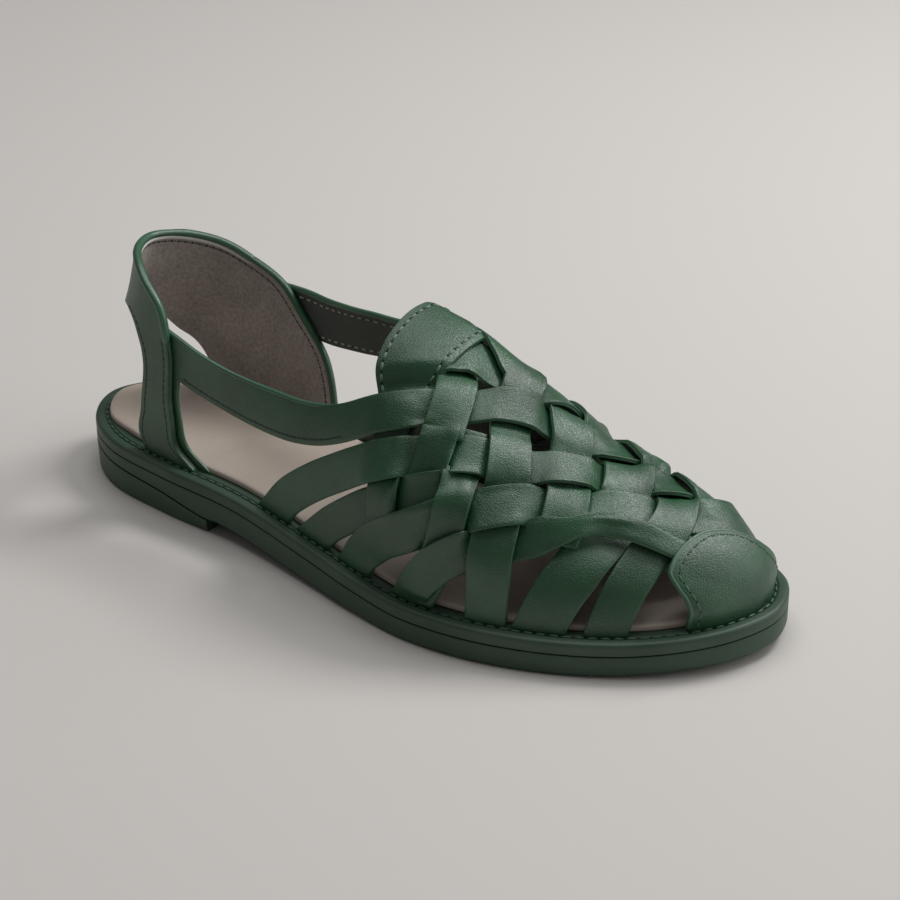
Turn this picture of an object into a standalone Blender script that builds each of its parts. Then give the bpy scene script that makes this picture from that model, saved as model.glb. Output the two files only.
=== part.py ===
"""Woven leather flat with a closed toe and an open sling back, for the right foot.

The shoe stands on its sole with the toe towards +Y and the outer side of the foot towards +X.
Everything above the sole follows one last: a surface addressed by its share of the sole's length
(0 at the heel, 1 at the toe) and by its wrap (0 at the outer feather line, 1 at the inner one).
"""

import math

import bmesh
import bpy
import numpy as np

# Driving sizes, in metres.
LENGTH = 0.265  # sole, heel to toe
BALL_WIDTH = 0.098  # sole across the ball
INSTEP_HEIGHT = 0.070  # top of the last above its feather line, at mid foot
COLLAR_HEIGHT = 0.0640  # rim above the feather line, at the back of the heel
SOLE_THICKNESS = 0.0072  # outsole at the ball
HEEL_RISE = 0.0073  # how much higher the seat lies than the ball
TOE_SPRING = 0.0032
HEEL_LENGTH = 0.0735  # heel block, back to breast
MIDSOLE_THICKNESS = 0.0045
WELT_WIDTH = 0.0065  # ledge of the midsole outside the feather line
INSOLE_THICKNESS = 0.0018
INSOLE_CLEARANCE = 0.0012  # from the feather line in to the insole's edge
LEATHER = 0.0018  # strips, straps, tongue and toe cap
COUNTER_LEATHER = 0.0020
STRIP_WIDTH = 0.0140
STRAP_WIDTH = 0.0165
EDGE_ROUND = 0.0008  # rounding of the sole's edges
GAP = 0.0003  # between neighbouring pieces
WELD = 0.0010  # how deep a crossing strip is bonded into the one below
RISE = 0.0017  # step from the face of a strip up to the one that crosses it

SPAN_STEPS = 3  # outline points for each span of the plan
STATION_STEP = 0.0075  # along a strip

# Sole seen from above: along as a share of LENGTH, both edges as shares of BALL_WIDTH.
#         along   outer   inner
PLAN = (
    (0.025, 0.155, -0.160),
    (0.090, 0.286, -0.298),
    (0.200, 0.347, -0.325),
    (0.330, 0.378, -0.290),
    (0.450, 0.448, -0.279),
    (0.550, 0.516, -0.320),
    (0.630, 0.552, -0.395),
    (0.710, 0.541, -0.444),
    (0.790, 0.484, -0.451),
    (0.870, 0.383, -0.421),
    (0.935, 0.255, -0.347),
    (0.980, 0.105, -0.240),
)
HEEL_TIP = (0.0, -0.010)
TOE_TIP = (1.0, -0.070)

# Sole seen from the side: seat rise as a share of HEEL_RISE, spring as a share of TOE_SPRING
# and thickness as a share of SOLE_THICKNESS.
#         along  rise   spring  thickness
PROFILE = (
    (0.00, 1.000, 0.00, 0.53),
    (0.12, 0.950, 0.00, 0.62),
    (0.20, 0.900, 0.00, 0.76),
    (0.28, 0.815, 0.00, 1.15),
    (0.45, 0.385, 0.00, 1.18),
    (0.56, 0.120, 0.00, 1.04),
    (0.63, 0.000, 0.00, 1.00),
    (0.79, 0.000, 0.00, 1.00),
    (0.87, 0.000, 0.12, 0.96),
    (0.93, 0.000, 0.45, 0.92),
    (1.00, 0.000, 1.00, 1.02),
)

# Cross sections of the last: height as a share of INSTEP_HEIGHT, ridge as a share of BALL_WIDTH.
#         along  height  ridge  squareness
SECTIONS = (
    (0.12, 1.50, -0.03, 2.2),
    (0.20, 1.35, -0.04, 2.2),
    (0.30, 1.12, -0.04, 2.2),
    (0.40, 1.06, -0.05, 2.2),
    (0.46, 1.03, -0.05, 2.2),
    (0.52, 0.99, -0.05, 2.2),
    (0.58, 0.915, -0.05, 2.3),
    (0.64, 0.785, -0.05, 2.3),
    (0.70, 0.635, -0.056, 2.4),
    (0.76, 0.500, -0.060, 2.4),
    (0.82, 0.407, -0.066, 2.4),
    (0.88, 0.340, -0.072, 2.4),
    (0.94, 0.255, -0.078, 2.3),
    (1.00, 0.220, -0.080, 2.2),
)
DOME_START = 0.93  # where the toe begins to round over, as a share of LENGTH


def smooth(table, value, column):
    """Column of a table at a value of its first column, on a curve that never overshoots its rows."""
    rows = np.array([(row[0], row[column]) for row in table], float)
    x, y = rows[:, 0], rows[:, 1]
    value = np.clip(np.asarray(value, float), x[0], x[-1])
    step, slope = np.diff(x), np.diff(y) / np.diff(x)
    tangent = np.zeros(len(x))
    tangent[0], tangent[-1] = slope[0], slope[-1]
    before, after = slope[:-1], slope[1:]
    steady = before * after > 0
    tangent[1:-1][steady] = 2 * before[steady] * after[steady] / (before + after)[steady]
    k = np.clip(np.searchsorted(x, value, side="right") - 1, 0, len(x) - 2)
    t = (value - x[k]) / step[k]
    return (
        y[k] * (1 + 2 * t) * (1 - t) ** 2
        + y[k + 1] * t**2 * (3 - 2 * t)
        + step[k] * (tangent[k] * t * (1 - t) ** 2 + tangent[k + 1] * t**2 * (t - 1))
    )


def curve_through(points, steps, closed):
    """Catmull-Rom curve through points, with knots spaced by the root of their distance."""
    points = np.asarray(points, float)
    count = len(points)
    if closed:
        frame = [(i - 1, i, (i + 1) % count, (i + 2) % count) for i in range(count)]
    else:
        points = np.vstack([2 * points[0] - points[1], points, 2 * points[-1] - points[-2]])
        frame = [(i, i + 1, i + 2, i + 3) for i in range(count - 1)]
    curve = []
    for indices in frame:
        a, b, c, d = (points[i] for i in indices)
        t0 = 0.0
        t1 = t0 + math.sqrt(np.linalg.norm(b - a))
        t2 = t1 + math.sqrt(np.linalg.norm(c - b))
        t3 = t2 + math.sqrt(np.linalg.norm(d - c))
        for t in np.linspace(t1, t2, steps, endpoint=False):
            ab = (a * (t1 - t) + b * (t - t0)) / (t1 - t0)
            bc = (b * (t2 - t) + c * (t - t1)) / (t2 - t1)
            cd = (c * (t3 - t) + d * (t - t2)) / (t3 - t2)
            left = (ab * (t2 - t) + bc * (t - t0)) / (t2 - t0)
            right = (bc * (t3 - t) + cd * (t - t1)) / (t3 - t1)
            curve.append((left * (t2 - t) + right * (t - t1)) / (t2 - t1))
    if not closed:
        curve.append(points[-2])
    return np.array(curve)


def plan_outline():
    """Edge of the sole, anticlockwise from the back of the heel: across and along, in metres."""
    outer = [(row[1], row[0]) for row in PLAN]
    inner = [(row[2], row[0]) for row in reversed(PLAN)]
    points = [HEEL_TIP[::-1]] + outer + [TOE_TIP[::-1]] + inner
    return curve_through(np.array(points) * (BALL_WIDTH, LENGTH), SPAN_STEPS, closed=True)


OUTLINE = plan_outline()
CENTRE = (OUTLINE.max(axis=0) + OUTLINE.min(axis=0)) / 2
TOE_INDEX = (len(PLAN) + 1) * SPAN_STEPS


def inset_outline(distance):
    along = np.roll(OUTLINE, -1, axis=0) - np.roll(OUTLINE, 1, axis=0)
    along /= np.linalg.norm(along, axis=1)[:, None]
    inward = np.stack([-along[:, 1], along[:, 0]], axis=1)
    return OUTLINE + inward * distance


FEATHER = inset_outline(WELT_WIDTH)


def groove_height(along):
    share = along / LENGTH
    return (
        SOLE_THICKNESS
        + HEEL_RISE * smooth(PROFILE, share, 1)
        + TOE_SPRING * smooth(PROFILE, share, 2)
    )


def underside_height(along):
    return groove_height(along) - SOLE_THICKNESS * smooth(PROFILE, along / LENGTH, 3)


def welt_height(along):
    return groove_height(along) + MIDSOLE_THICKNESS


def edge_across(along, side):
    """Feather line at a distance along the sole, on the outer (1) or the inner (-1) side."""
    outer, inner = FEATHER[: TOE_INDEX + 1], np.vstack([FEATHER[TOE_INDEX:], FEATHER[:1]])[::-1]
    edge = outer if side > 0 else inner
    return np.interp(along, edge[:, 1], edge[:, 0])


FEATHER_TIP = FEATHER[TOE_INDEX, 1] / LENGTH
TIP_MARGIN = 0.0006  # share of LENGTH short of the tip at which the last's surface ends


def last_point(share, wrap):
    """Point of the last, in the shoe's own frame."""
    share, wrap = np.broadcast_arrays(np.asarray(share, float), np.asarray(wrap, float))
    along = share * LENGTH
    height = INSTEP_HEIGHT * smooth(SECTIONS, share, 1)
    nose = np.clip((share - DOME_START) / (FEATHER_TIP - DOME_START), 0, 1)
    height = height * (1 - nose**3) ** (1 / 3)
    outer, inner = edge_across(along, 1), edge_across(along, -1)
    ridge = np.clip(BALL_WIDTH * smooth(SECTIONS, share, 2), inner, outer)
    power = 2 / smooth(SECTIONS, share, 3)
    cosine, sine = np.cos(wrap * math.pi), np.sin(wrap * math.pi)
    reach = np.where(cosine > 0, outer - ridge, ridge - inner)
    across = ridge + reach * np.sign(cosine) * np.abs(cosine) ** power
    up = welt_height(along) + GAP + height * np.abs(sine) ** power
    return np.stack([across - CENTRE[0], along - CENTRE[1], up], axis=-1)


def last_frame(share, wrap):
    """Point of the last with its slopes by share and by wrap, and its outward normal."""
    nudge = 0.002
    share = np.clip(share, 0.05, FEATHER_TIP - TIP_MARGIN)
    wrap = np.clip(wrap, 0.0, 1.0)
    behind, ahead = share - nudge, np.minimum(share + nudge, FEATHER_TIP - TIP_MARGIN / 2)
    low, high = np.clip(wrap - nudge, 0, 1), np.clip(wrap + nudge, 0, 1)
    point = last_point(share, wrap)
    by_share = (last_point(ahead, wrap) - last_point(behind, wrap)) / (ahead - behind)[..., None]
    by_wrap = (last_point(share, high) - last_point(share, low)) / (high - low)[..., None]
    normal = np.cross(by_share, by_wrap)
    return point, by_share, by_wrap, normal / np.linalg.norm(normal, axis=-1)[..., None]


def on_last(share, wrap, lift):
    point, _, _, normal = last_frame(share, wrap)
    return point + normal * np.asarray(lift)[..., None]


# Meshes and materials.


def material(name, colour, roughness):
    """Principled material from an sRGB colour in hexadecimal."""
    made = bpy.data.materials.new(name)
    made.use_nodes = True
    channels = [int(colour[i : i + 2], 16) / 255 for i in (0, 2, 4)]
    linear = [c / 12.92 if c <= 0.04045 else ((c + 0.055) / 1.055) ** 2.4 for c in channels]
    shader = made.node_tree.nodes["Principled BSDF"]
    shader.inputs["Base Color"].default_value = (*linear, 1)
    shader.inputs["Roughness"].default_value = roughness
    return made


def mesh_object(name, points, faces, finish):
    mesh = bpy.data.meshes.new(name)
    mesh.from_pydata([tuple(point) for point in points], [], faces)
    mesh.materials.append(finish)
    mesh.update()
    made = bpy.data.objects.new(name, mesh)
    bpy.context.scene.collection.objects.link(made)
    return made


def lofted(name, rings, finish):
    """Closed solid through rings of equal length, lowest first, closed by ladders of faces."""
    count = len(rings[0])
    faces = []
    for level in range(len(rings) - 1):
        low, high = level * count, (level + 1) * count
        for i in range(count):
            j = (i + 1) % count
            faces.append((low + i, low + j, high + j, high + i))
    top = (len(rings) - 1) * count
    half = count // 2
    for i in range(half):
        rung = [i, i + 1, count - i - 1, (count - i) % count]
        rung = list(dict.fromkeys(rung))
        if len(rung) > 2:
            faces.append(tuple(top + k for k in rung))
            faces.append(tuple(reversed(rung)))
    return mesh_object(name, np.concatenate(rings), faces, finish)


def walled(name, outside, inside, finish):
    """Closed solid between two grids of points with the same rows and columns."""
    rows, columns = outside.shape[:2]
    offset = rows * columns
    faces = []
    for r in range(rows - 1):
        for c in range(columns - 1):
            a = r * columns + c
            faces.append((a, a + 1, a + columns + 1, a + columns))
            faces.append(tuple(offset + k for k in (a, a + columns, a + columns + 1, a + 1)))
    border = [c for c in range(columns)]
    border += [r * columns + columns - 1 for r in range(1, rows)]
    border += [(rows - 1) * columns + c for c in range(columns - 2, -1, -1)]
    border += [r * columns for r in range(rows - 2, 0, -1)]
    for a, b in zip(border, border[1:] + border[:1]):
        faces.append((b, a, offset + a, offset + b))
    points = np.concatenate([outside.reshape(-1, 3), inside.reshape(-1, 3)])
    made = mesh_object(name, points, faces, finish)
    volume = 0.0
    made.data.calc_loop_triangles()
    for triangle in made.data.loop_triangles:
        a, b, c = (made.data.vertices[k].co for k in triangle.vertices)
        volume += a.dot(b.cross(c))
    if volume < 0:
        made.data.flip_normals()
    return made


def keep_largest_body(whole):
    """Drops the crumbs that a union leaves where two faces graze each other."""
    shape = bmesh.new()
    shape.from_mesh(whole.data)
    unseen = set(shape.verts)
    bodies = []
    while unseen:
        front = [unseen.pop()]
        body = list(front)
        while front:
            near = {edge.other_vert(vert) for vert in front for edge in vert.link_edges} & unseen
            unseen -= near
            front = list(near)
            body += front
        bodies.append(body)
    bodies.sort(key=len)
    for body in bodies[:-1]:
        bmesh.ops.delete(shape, geom=body, context="VERTS")
    shape.to_mesh(whole.data)
    shape.free()


def united(name, pieces):
    """One body from overlapping pieces: the first keeps its object and takes in the others."""
    whole = pieces[0]
    whole.name = name
    for piece in pieces[1:]:
        join = whole.modifiers.new("join", "BOOLEAN")
        join.operation = "UNION"
        join.solver = "MANIFOLD"
        join.object = piece
        bpy.context.view_layer.objects.active = whole
        with bpy.context.temp_override(object=whole, active_object=whole):
            bpy.ops.object.modifier_apply(modifier=join.name)
        bpy.data.objects.remove(piece)
    keep_largest_body(whole)
    return whole


def sole_ring(outline, height, drop=0.0):
    """Outline laid on a height that depends on the distance along the sole."""
    return np.column_stack(
        [outline[:, 0] - CENTRE[0], outline[:, 1] - CENTRE[1], height(outline[:, 1]) - drop]
    )


# Sole.


def make_outsole(finish):
    edge = EDGE_ROUND
    rings = [
        sole_ring(inset_outline(2 * edge), underside_height),
        sole_ring(inset_outline(0.4 * edge), underside_height, -edge),
        sole_ring(OUTLINE, underside_height, -2.5 * edge),
        sole_ring(OUTLINE, groove_height, edge),
        sole_ring(inset_outline(edge), groove_height, 0),
    ]
    return lofted("outsole", rings, finish)


def make_heel_block(finish):
    """Outline of the sole behind the breast, from the floor to the outsole's underside."""

    def cut_ring(distance, height, drop):
        outline = inset_outline(distance)
        outer = [p for p in outline[: TOE_INDEX] if p[1] < HEEL_LENGTH - 2 * EDGE_ROUND]
        inner = [p for p in outline[TOE_INDEX:] if p[1] < HEEL_LENGTH - 2 * EDGE_ROUND]
        corners = []
        for side in (outline[: TOE_INDEX + 1], outline[TOE_INDEX:][::-1]):
            corners.append((np.interp(HEEL_LENGTH, side[:, 1], side[:, 0]), HEEL_LENGTH))
        ring = np.array(outer + [corners[0], corners[1]] + inner)
        return sole_ring(ring, height, drop)

    def floor(along):
        return np.zeros_like(along)

    edge = EDGE_ROUND
    rings = [
        cut_ring(2 * edge, floor, 0),
        cut_ring(edge, floor, -edge),
        cut_ring(0.5 * edge, underside_height, GAP + edge),
        cut_ring(edge, underside_height, GAP),
    ]
    return lofted("heel_block", rings, finish)


def make_midsole(finish):
    edge = EDGE_ROUND
    rings = [
        sole_ring(inset_outline(edge), groove_height, -GAP),
        sole_ring(OUTLINE, groove_height, -GAP - edge),
        sole_ring(OUTLINE, welt_height, edge),
        sole_ring(inset_outline(edge), welt_height, 0),
    ]
    return lofted("midsole", rings, finish)


def make_insole(finish):
    inset = WELT_WIDTH + INSOLE_CLEARANCE
    round_off = INSOLE_THICKNESS / 3
    rings = [
        sole_ring(inset_outline(inset), welt_height, -GAP),
        sole_ring(inset_outline(inset), welt_height, round_off - GAP - INSOLE_THICKNESS),
        sole_ring(inset_outline(inset + round_off), welt_height, -GAP - INSOLE_THICKNESS),
    ]
    return lofted("insole", rings, finish)


# Woven upper. Each strip is a leather ribbon on the last. Rows start at the outer side of the
# heel end and cross forward to the inner side. Columns start at the inner side and cross forward
# to the outer side. Where a strip's end has a foot, the foot lies along the feather line.

# name: widths at the start and at the end, as shares of STRIP_WIDTH (of STRAP_WIDTH for the two
#       straps), share of the strip at which one turns into the other, foot at the start, foot at
#       the end, waypoints of (share of length, wrap)
ROWS = {
    "throat row": (0.80, 0.85, 0.5, 0, 1, (
        (0.605, 0.452), (0.620, 0.470), (0.640, 0.495), (0.667, 0.53), (0.686, 0.58),
        (0.700, 0.66), (0.706, 0.76), (0.704, 0.88), (0.695, 1.0))),
    "strap row": (1.00, 0.74, 0.32, 0, 1, (
        (0.180, 0.130), (0.245, 0.130), (0.310, 0.134), (0.380, 0.136), (0.425, 0.147),
        (0.460, 0.165), (0.495, 0.192), (0.537, 0.237), (0.569, 0.275), (0.597, 0.322),
        (0.630, 0.380), (0.652, 0.422), (0.674, 0.458), (0.700, 0.485), (0.735, 0.530),
        (0.765, 0.60), (0.785, 0.69), (0.792, 0.79), (0.790, 0.90), (0.780, 1.0))),
    "first row": (0.90, 0.88, 0.5, 1, 1, (
        (0.387, 0.0), (0.416, 0.034), (0.458, 0.076), (0.495, 0.111), (0.535, 0.150),
        (0.589, 0.206), (0.643, 0.277), (0.678, 0.323), (0.713, 0.370), (0.740, 0.410),
        (0.775, 0.458), (0.812, 0.525), (0.842, 0.60), (0.862, 0.69), (0.870, 0.80),
        (0.866, 0.90), (0.855, 1.0))),
    "second row": (0.84, 0.80, 0.5, 1, 0, (
        (0.460, 0.0), (0.492, 0.033), (0.530, 0.072), (0.557, 0.099), (0.607, 0.155),
        (0.650, 0.208), (0.674, 0.24))),
    "third row": (0.90, 0.88, 0.5, 1, 1, (
        (0.536, 0.0), (0.553, 0.024), (0.582, 0.059), (0.621, 0.104), (0.653, 0.147),
        (0.692, 0.212), (0.727, 0.272), (0.752, 0.314), (0.787, 0.364), (0.818, 0.399),
        (0.852, 0.436), (0.887, 0.487), (0.906, 0.54), (0.918, 0.61), (0.924, 0.70),
        (0.925, 0.80), (0.922, 0.90), (0.915, 1.0))),
    "fourth row": (0.88, 0.36, 0.62, 1, 0, (
        (0.627, 0.0), (0.648, 0.042), (0.672, 0.086), (0.708, 0.143), (0.747, 0.207),
        (0.782, 0.265), (0.813, 0.326), (0.843, 0.342), (0.870, 0.342), (0.894, 0.338))),
}
COLUMNS = {
    "rear column": (0.90, 0.90, 0.5, 0, 0, (
        (0.553, 0.275), (0.561, 0.230), (0.577, 0.160), (0.585, 0.100), (0.588, 0.055))),
    "throat column": (0.88, 0.88, 0.5, 0, 0, (
        (0.6095, 0.385), (0.614, 0.355), (0.622, 0.302), (0.629, 0.211), (0.624, 0.141),
        (0.618, 0.075))),
    "short column": (0.80, 0.80, 0.5, 0, 1, (
        (0.648, 0.345), (0.667, 0.25), (0.675, 0.14), (0.668, 0.06), (0.656, 0.0))),
    "strap column": (1.00, 0.85, 0.32, 0, 1, (
        (0.190, 0.865), (0.240, 0.848), (0.292, 0.834), (0.347, 0.820), (0.390, 0.809),
        (0.430, 0.798), (0.480, 0.772), (0.530, 0.720), (0.572, 0.640), (0.604, 0.565),
        (0.630, 0.520), (0.653, 0.473), (0.679, 0.400), (0.707, 0.307), (0.720, 0.207),
        (0.724, 0.150), (0.728, 0.080), (0.728, 0.0))),
    "second column": (0.95, 0.95, 0.5, 1, 0, (
        (0.387, 1.0), (0.458, 0.920), (0.530, 0.850), (0.589, 0.780), (0.640, 0.695),
        (0.677, 0.600), (0.703, 0.529), (0.735, 0.464), (0.761, 0.385), (0.777, 0.303),
        (0.783, 0.24))),
    "third column": (1.05, 1.12, 0.5, 1, 1, (
        (0.470, 1.0), (0.535, 0.925), (0.605, 0.845), (0.655, 0.780), (0.705, 0.70),
        (0.747, 0.62), (0.783, 0.539), (0.812, 0.445), (0.823, 0.340), (0.818, 0.250),
        (0.812, 0.175), (0.803, 0.10), (0.788, 0.0))),
    "fourth column": (0.95, 0.90, 0.5, 1, 1, (
        (0.550, 1.0), (0.600, 0.935), (0.655, 0.865), (0.710, 0.78), (0.760, 0.70),
        (0.808, 0.618), (0.848, 0.540), (0.869, 0.465), (0.876, 0.385), (0.873, 0.310),
        (0.871, 0.240), (0.868, 0.170), (0.864, 0.090), (0.856, 0.0))),
    "fifth column": (0.90, 0.88, 0.5, 1, 0, (
        (0.630, 1.0), (0.672, 0.925), (0.715, 0.865), (0.760, 0.80), (0.805, 0.735),
        (0.845, 0.68), (0.875, 0.64), (0.902, 0.61))),
}
# Plain weave, apart from these crossings: the strip that lies on top, and the one below.
SWAPPED = {
    ("throat column", "strap row"),
    ("strap row", "rear column"),
    ("third row", "rear column"),
    ("second row", "throat column"),
    ("fourth row", "throat column"),
    ("fourth row", "third column"),
}
STRIPS = {**ROWS, **COLUMNS}
TUCK_SHARE = 0.285  # behind this share of the length a strap lies against the counter
TUCK_FADE = 0.06  # share of the length over which it comes there
FOOT_RUN = 0.020  # length over which a strip turns square to its foot
PLATEAU = 0.0006  # how far the top of a crossing reaches past the strip below
RAMP = 0.0060  # from the top of a crossing down to the last


def column_lies_on_top(row, column):
    if (column, row) in SWAPPED:
        return True
    if (row, column) in SWAPPED:
        return False
    if row == "second row":
        return True
    rows = [name for name in ROWS if name != "second row"]
    return (rows.index(row) + list(COLUMNS).index(column)) % 2 == 1


def strip_width(name, part):
    """Width of a strip where a share of its length is reached."""
    start, end, turning = STRIPS[name][:3]
    full = STRAP_WIDTH if name.startswith("strap") else STRIP_WIDTH
    return full * (start + (end - start) * ease((part - turning) / 0.12 + 0.5))


def strip_line(waypoints, step):
    """Waypoints of a strip made a curve with points evenly spaced over the last."""
    dense = curve_through(waypoints, 12, closed=False)
    points = last_point(dense[:, 0], dense[:, 1])
    run = np.concatenate([[0], np.cumsum(np.linalg.norm(np.diff(points, axis=0), axis=1))])
    count = max(3, round(run[-1] / step)) + 1
    stations = np.linspace(0, run[-1], count)
    return np.stack([np.interp(stations, run, dense[:, k]) for k in (0, 1)], axis=1), stations


def distance_to_line(points, line):
    """Shortest distance from each point to a line of points."""
    start, step = line[:-1], np.diff(line, axis=0)
    offset = points[..., None, :] - start
    part = np.clip((offset * step).sum(-1) / (step**2).sum(-1), 0, 1)
    return np.linalg.norm(offset - part[..., None] * step, axis=-1).min(axis=-1)


def ease(value):
    value = np.clip(value, 0, 1)
    return value * value * (3 - 2 * value)


def strip_grid(name, across_steps, step):
    """Addresses on the last of a strip's points: stations by points across."""
    foot_start, foot_end, waypoints = STRIPS[name][3:]
    line, run = strip_line(waypoints, step)
    point, by_share, by_wrap, normal = last_frame(line[:, 0], line[:, 1])
    forward = np.gradient(point, axis=0)
    side = np.cross(forward, normal)
    side /= np.linalg.norm(side, axis=1)[:, None]
    slopes = np.stack([by_share, by_wrap], axis=-1)
    address = np.stack([np.linalg.pinv(slopes[i]) @ side[i] for i in range(len(line))])
    ahead = by_share / np.linalg.norm(by_share, axis=1)[:, None]
    slant = np.maximum(0.6, np.abs((side * ahead).sum(axis=1)))
    foot = np.zeros_like(address)
    foot[:, 0] = np.sign(address[:, 0]) / (LENGTH * slant)
    turned = np.zeros(len(line))
    if foot_start:
        turned = np.maximum(turned, 1 - ease(run / FOOT_RUN))
    if foot_end:
        turned = np.maximum(turned, 1 - ease((run[-1] - run) / FOOT_RUN))
    address = address * (1 - turned[:, None]) + foot * turned[:, None]
    half = strip_width(name, run / run[-1]) / 2
    offsets = half[:, None] * np.linspace(-1, 1, across_steps)[None, :]
    grid = line[:, None, :] + offsets[..., None] * address[:, None, :]
    grid[..., 1] = np.clip(grid[..., 1], 0, 1)
    return grid


def strip_lift(name, grid, lines):
    """How far a strip's outer and inner faces are raised where it lies on top of another strip."""
    points = last_point(grid[..., 0], grid[..., 1])
    lift = np.zeros(points.shape[:2])
    is_row = name in ROWS
    for other in COLUMNS if is_row else ROWS:
        row, column = (name, other) if is_row else (other, name)
        if column_lies_on_top(row, column) == is_row:
            continue
        reach = max(strip_width(other, 0.0), strip_width(other, 1.0))
        if other.startswith("strap"):
            reach = strip_width(other, 1.0)
        distance = distance_to_line(points, lines[other])
        lift = np.maximum(lift, 1 - ease((distance - reach / 2 - PLATEAU) / RAMP))
    return lift * RISE, lift * (LEATHER - WELD)


def tucked(name, points, addresses, depth):
    """Points of a strap moved sideways to lie inside or outside the counter at its rear end."""
    outer = name == "strap row"
    runs = (1 if outer else -1) * LENGTH * np.linspace(0.05, 0.40, 36)
    moved = points.copy()
    for index in np.ndindex(points.shape[:2]):
        near = ease((TUCK_SHARE - addresses[index][0]) / TUCK_FADE + 1)
        if near > 0:
            along, up = points[index][1], points[index][2]
            base = welt_height(along + CENTRE[1]) + GAP
            wall = heel_point(runs, np.clip(up - base, 0, 1.1 * COLLAR_HEIGHT))
            across = np.interp(along, wall[:, 1], wall[:, 0]) + depth
            moved[index][0] += (across - points[index][0]) * near
    return moved


def make_woven_upper(finish):
    lines = {}
    for name in STRIPS:
        line, _ = strip_line(STRIPS[name][5], 0.002)
        lines[name] = last_point(line[:, 0], line[:, 1])
    pieces = []
    for name in STRIPS:
        grid = strip_grid(name, 3, STATION_STEP)
        outer_lift, inner_lift = strip_lift(name, grid, lines)
        outside = on_last(grid[..., 0], grid[..., 1], outer_lift + LEATHER)
        inside = on_last(grid[..., 0], grid[..., 1], inner_lift)
        if name == "strap row":
            outside = tucked(name, outside, grid, -GAP)
            inside = tucked(name, inside, grid, -GAP - LEATHER)
        if name == "strap column":
            outside = tucked(name, outside, grid, -COUNTER_LEATHER - GAP - LEATHER)
            inside = tucked(name, inside, grid, -COUNTER_LEATHER - GAP)
        pieces.append(walled(name, outside, inside, finish))
    return united("woven_upper", pieces)


# Toe cap.

#        wrap   rear edge, as a share of LENGTH
CAP_EDGE = (
    (0.00, 0.930),
    (0.07, 0.930),
    (0.14, 0.924),
    (0.20, 0.911),
    (0.25, 0.901),
    (0.32, 0.904),
    (0.42, 0.916),
    (0.50, 0.938),
    (0.58, 0.952),
    (0.75, 0.953),
    (1.00, 0.948),
)
CAP_LAP = 0.030  # share of LENGTH over which the cap comes down from the strips' ends


def make_toe_cap(finish):
    wraps = np.linspace(0, 1, 21)
    steps = np.sin(np.linspace(0, 1, 10) * math.pi / 2)
    rear = smooth(CAP_EDGE, wraps, 1)
    tip = FEATHER_TIP - TIP_MARGIN
    share = rear[None, :] + (tip - rear)[None, :] * steps[:, None]
    wrap = np.broadcast_to(wraps, share.shape)
    crown = ease(np.sin(wrap * math.pi) / 0.6)
    lap = 1 - ease((share - rear[None, :] - 0.012) / CAP_LAP)
    lift = (LEATHER + GAP) * lap * crown
    outside = on_last(share, wrap, lift + LEATHER)
    inside = on_last(share, wrap, lift)
    feather = welt_height(FEATHER_TIP * LENGTH) + 3 * GAP
    faces = []
    for face in (outside, inside):
        front = face[-1].copy()
        front[:, 2] = feather
        faces.append(np.concatenate([face, front[None]]))
    return walled("toe_cap", faces[0], faces[1], finish)


# Tongue: a rounded tab on the instep. Its sides slip under the two straps, and its middle lies over
# the start of the weave.

TONGUE_REAR = 0.502  # share of LENGTH
TONGUE_FRONT = 0.589
TONGUE_WRAP = (0.240, 0.595)
TONGUE_DEPTH = 0.0014  # from the last down to the face of the part under the straps
TONGUE_STAND = 0.0012  # how far the open part stands off the last
# Edges of the two straps over the tongue: wrap where share of LENGTH is 0.55, and its slope.
NEAR_STRAP_EDGE = (0.305, 1.35)
FAR_STRAP_EDGE = (0.600, -2.10)


def make_tongue(finish):
    sides = np.linspace(-1, 1, 15)
    middle, half = sum(TONGUE_WRAP) / 2, (TONGUE_WRAP[1] - TONGUE_WRAP[0]) / 2
    wrap = middle + half * sides
    rear = TONGUE_REAR + 0.034 * np.abs(sides) ** 3.2
    steps = np.linspace(0, 1, 8)
    share = rear[None, :] + (TONGUE_FRONT - rear)[None, :] * steps[:, None]
    wrap = np.broadcast_to(wrap, share.shape)
    near = NEAR_STRAP_EDGE[0] + NEAR_STRAP_EDGE[1] * (share - 0.55)
    far = FAR_STRAP_EDGE[0] + FAR_STRAP_EDGE[1] * (share - 0.55)
    open_part = ease((wrap - near) / 0.06) * ease((far - wrap) / 0.06)
    sunk = -(LEATHER + TONGUE_DEPTH)
    lift = sunk + (TONGUE_STAND - sunk) * open_part
    outside = on_last(share, wrap, lift + LEATHER)
    inside = on_last(share, wrap, lift)
    return walled("tongue", outside, inside, finish)


# Heel counter: a band round the back of the heel with a narrow outer leg and a broad inner wing.

# Run is the distance round the feather line from the back of the heel, as a share of LENGTH,
# positive on the outer side. Heights above that line are shares of COLLAR_HEIGHT. The band's edges
# go from the foot of the leg, round the heel, to the foot of the wing.
#     lower edge       upper edge
#     run     height   run     height
COUNTER = (
    (0.176, 0.00, 0.268, 0.00),
    (0.164, 0.10, 0.236, 0.09),
    (0.169, 0.24, 0.229, 0.24),
    (0.168, 0.38, 0.222, 0.40),
    (0.157, 0.51, 0.211, 0.56),
    (0.135, 0.62, 0.194, 0.71),
    (0.110, 0.72, 0.170, 0.85),
    (0.082, 0.75, 0.137, 0.93),
    (0.050, 0.71, 0.090, 1.00),
    (0.015, 0.60, 0.030, 1.02),
    (-0.020, 0.49, -0.030, 1.00),
    (-0.050, 0.41, -0.090, 0.94),
    (-0.075, 0.35, -0.150, 0.85),
    (-0.095, 0.29, -0.212, 0.76),
    (-0.109, 0.22, -0.262, 0.60),
    (-0.120, 0.13, -0.318, 0.40),
    (-0.130, 0.00, -0.340, 0.00),
)
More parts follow.
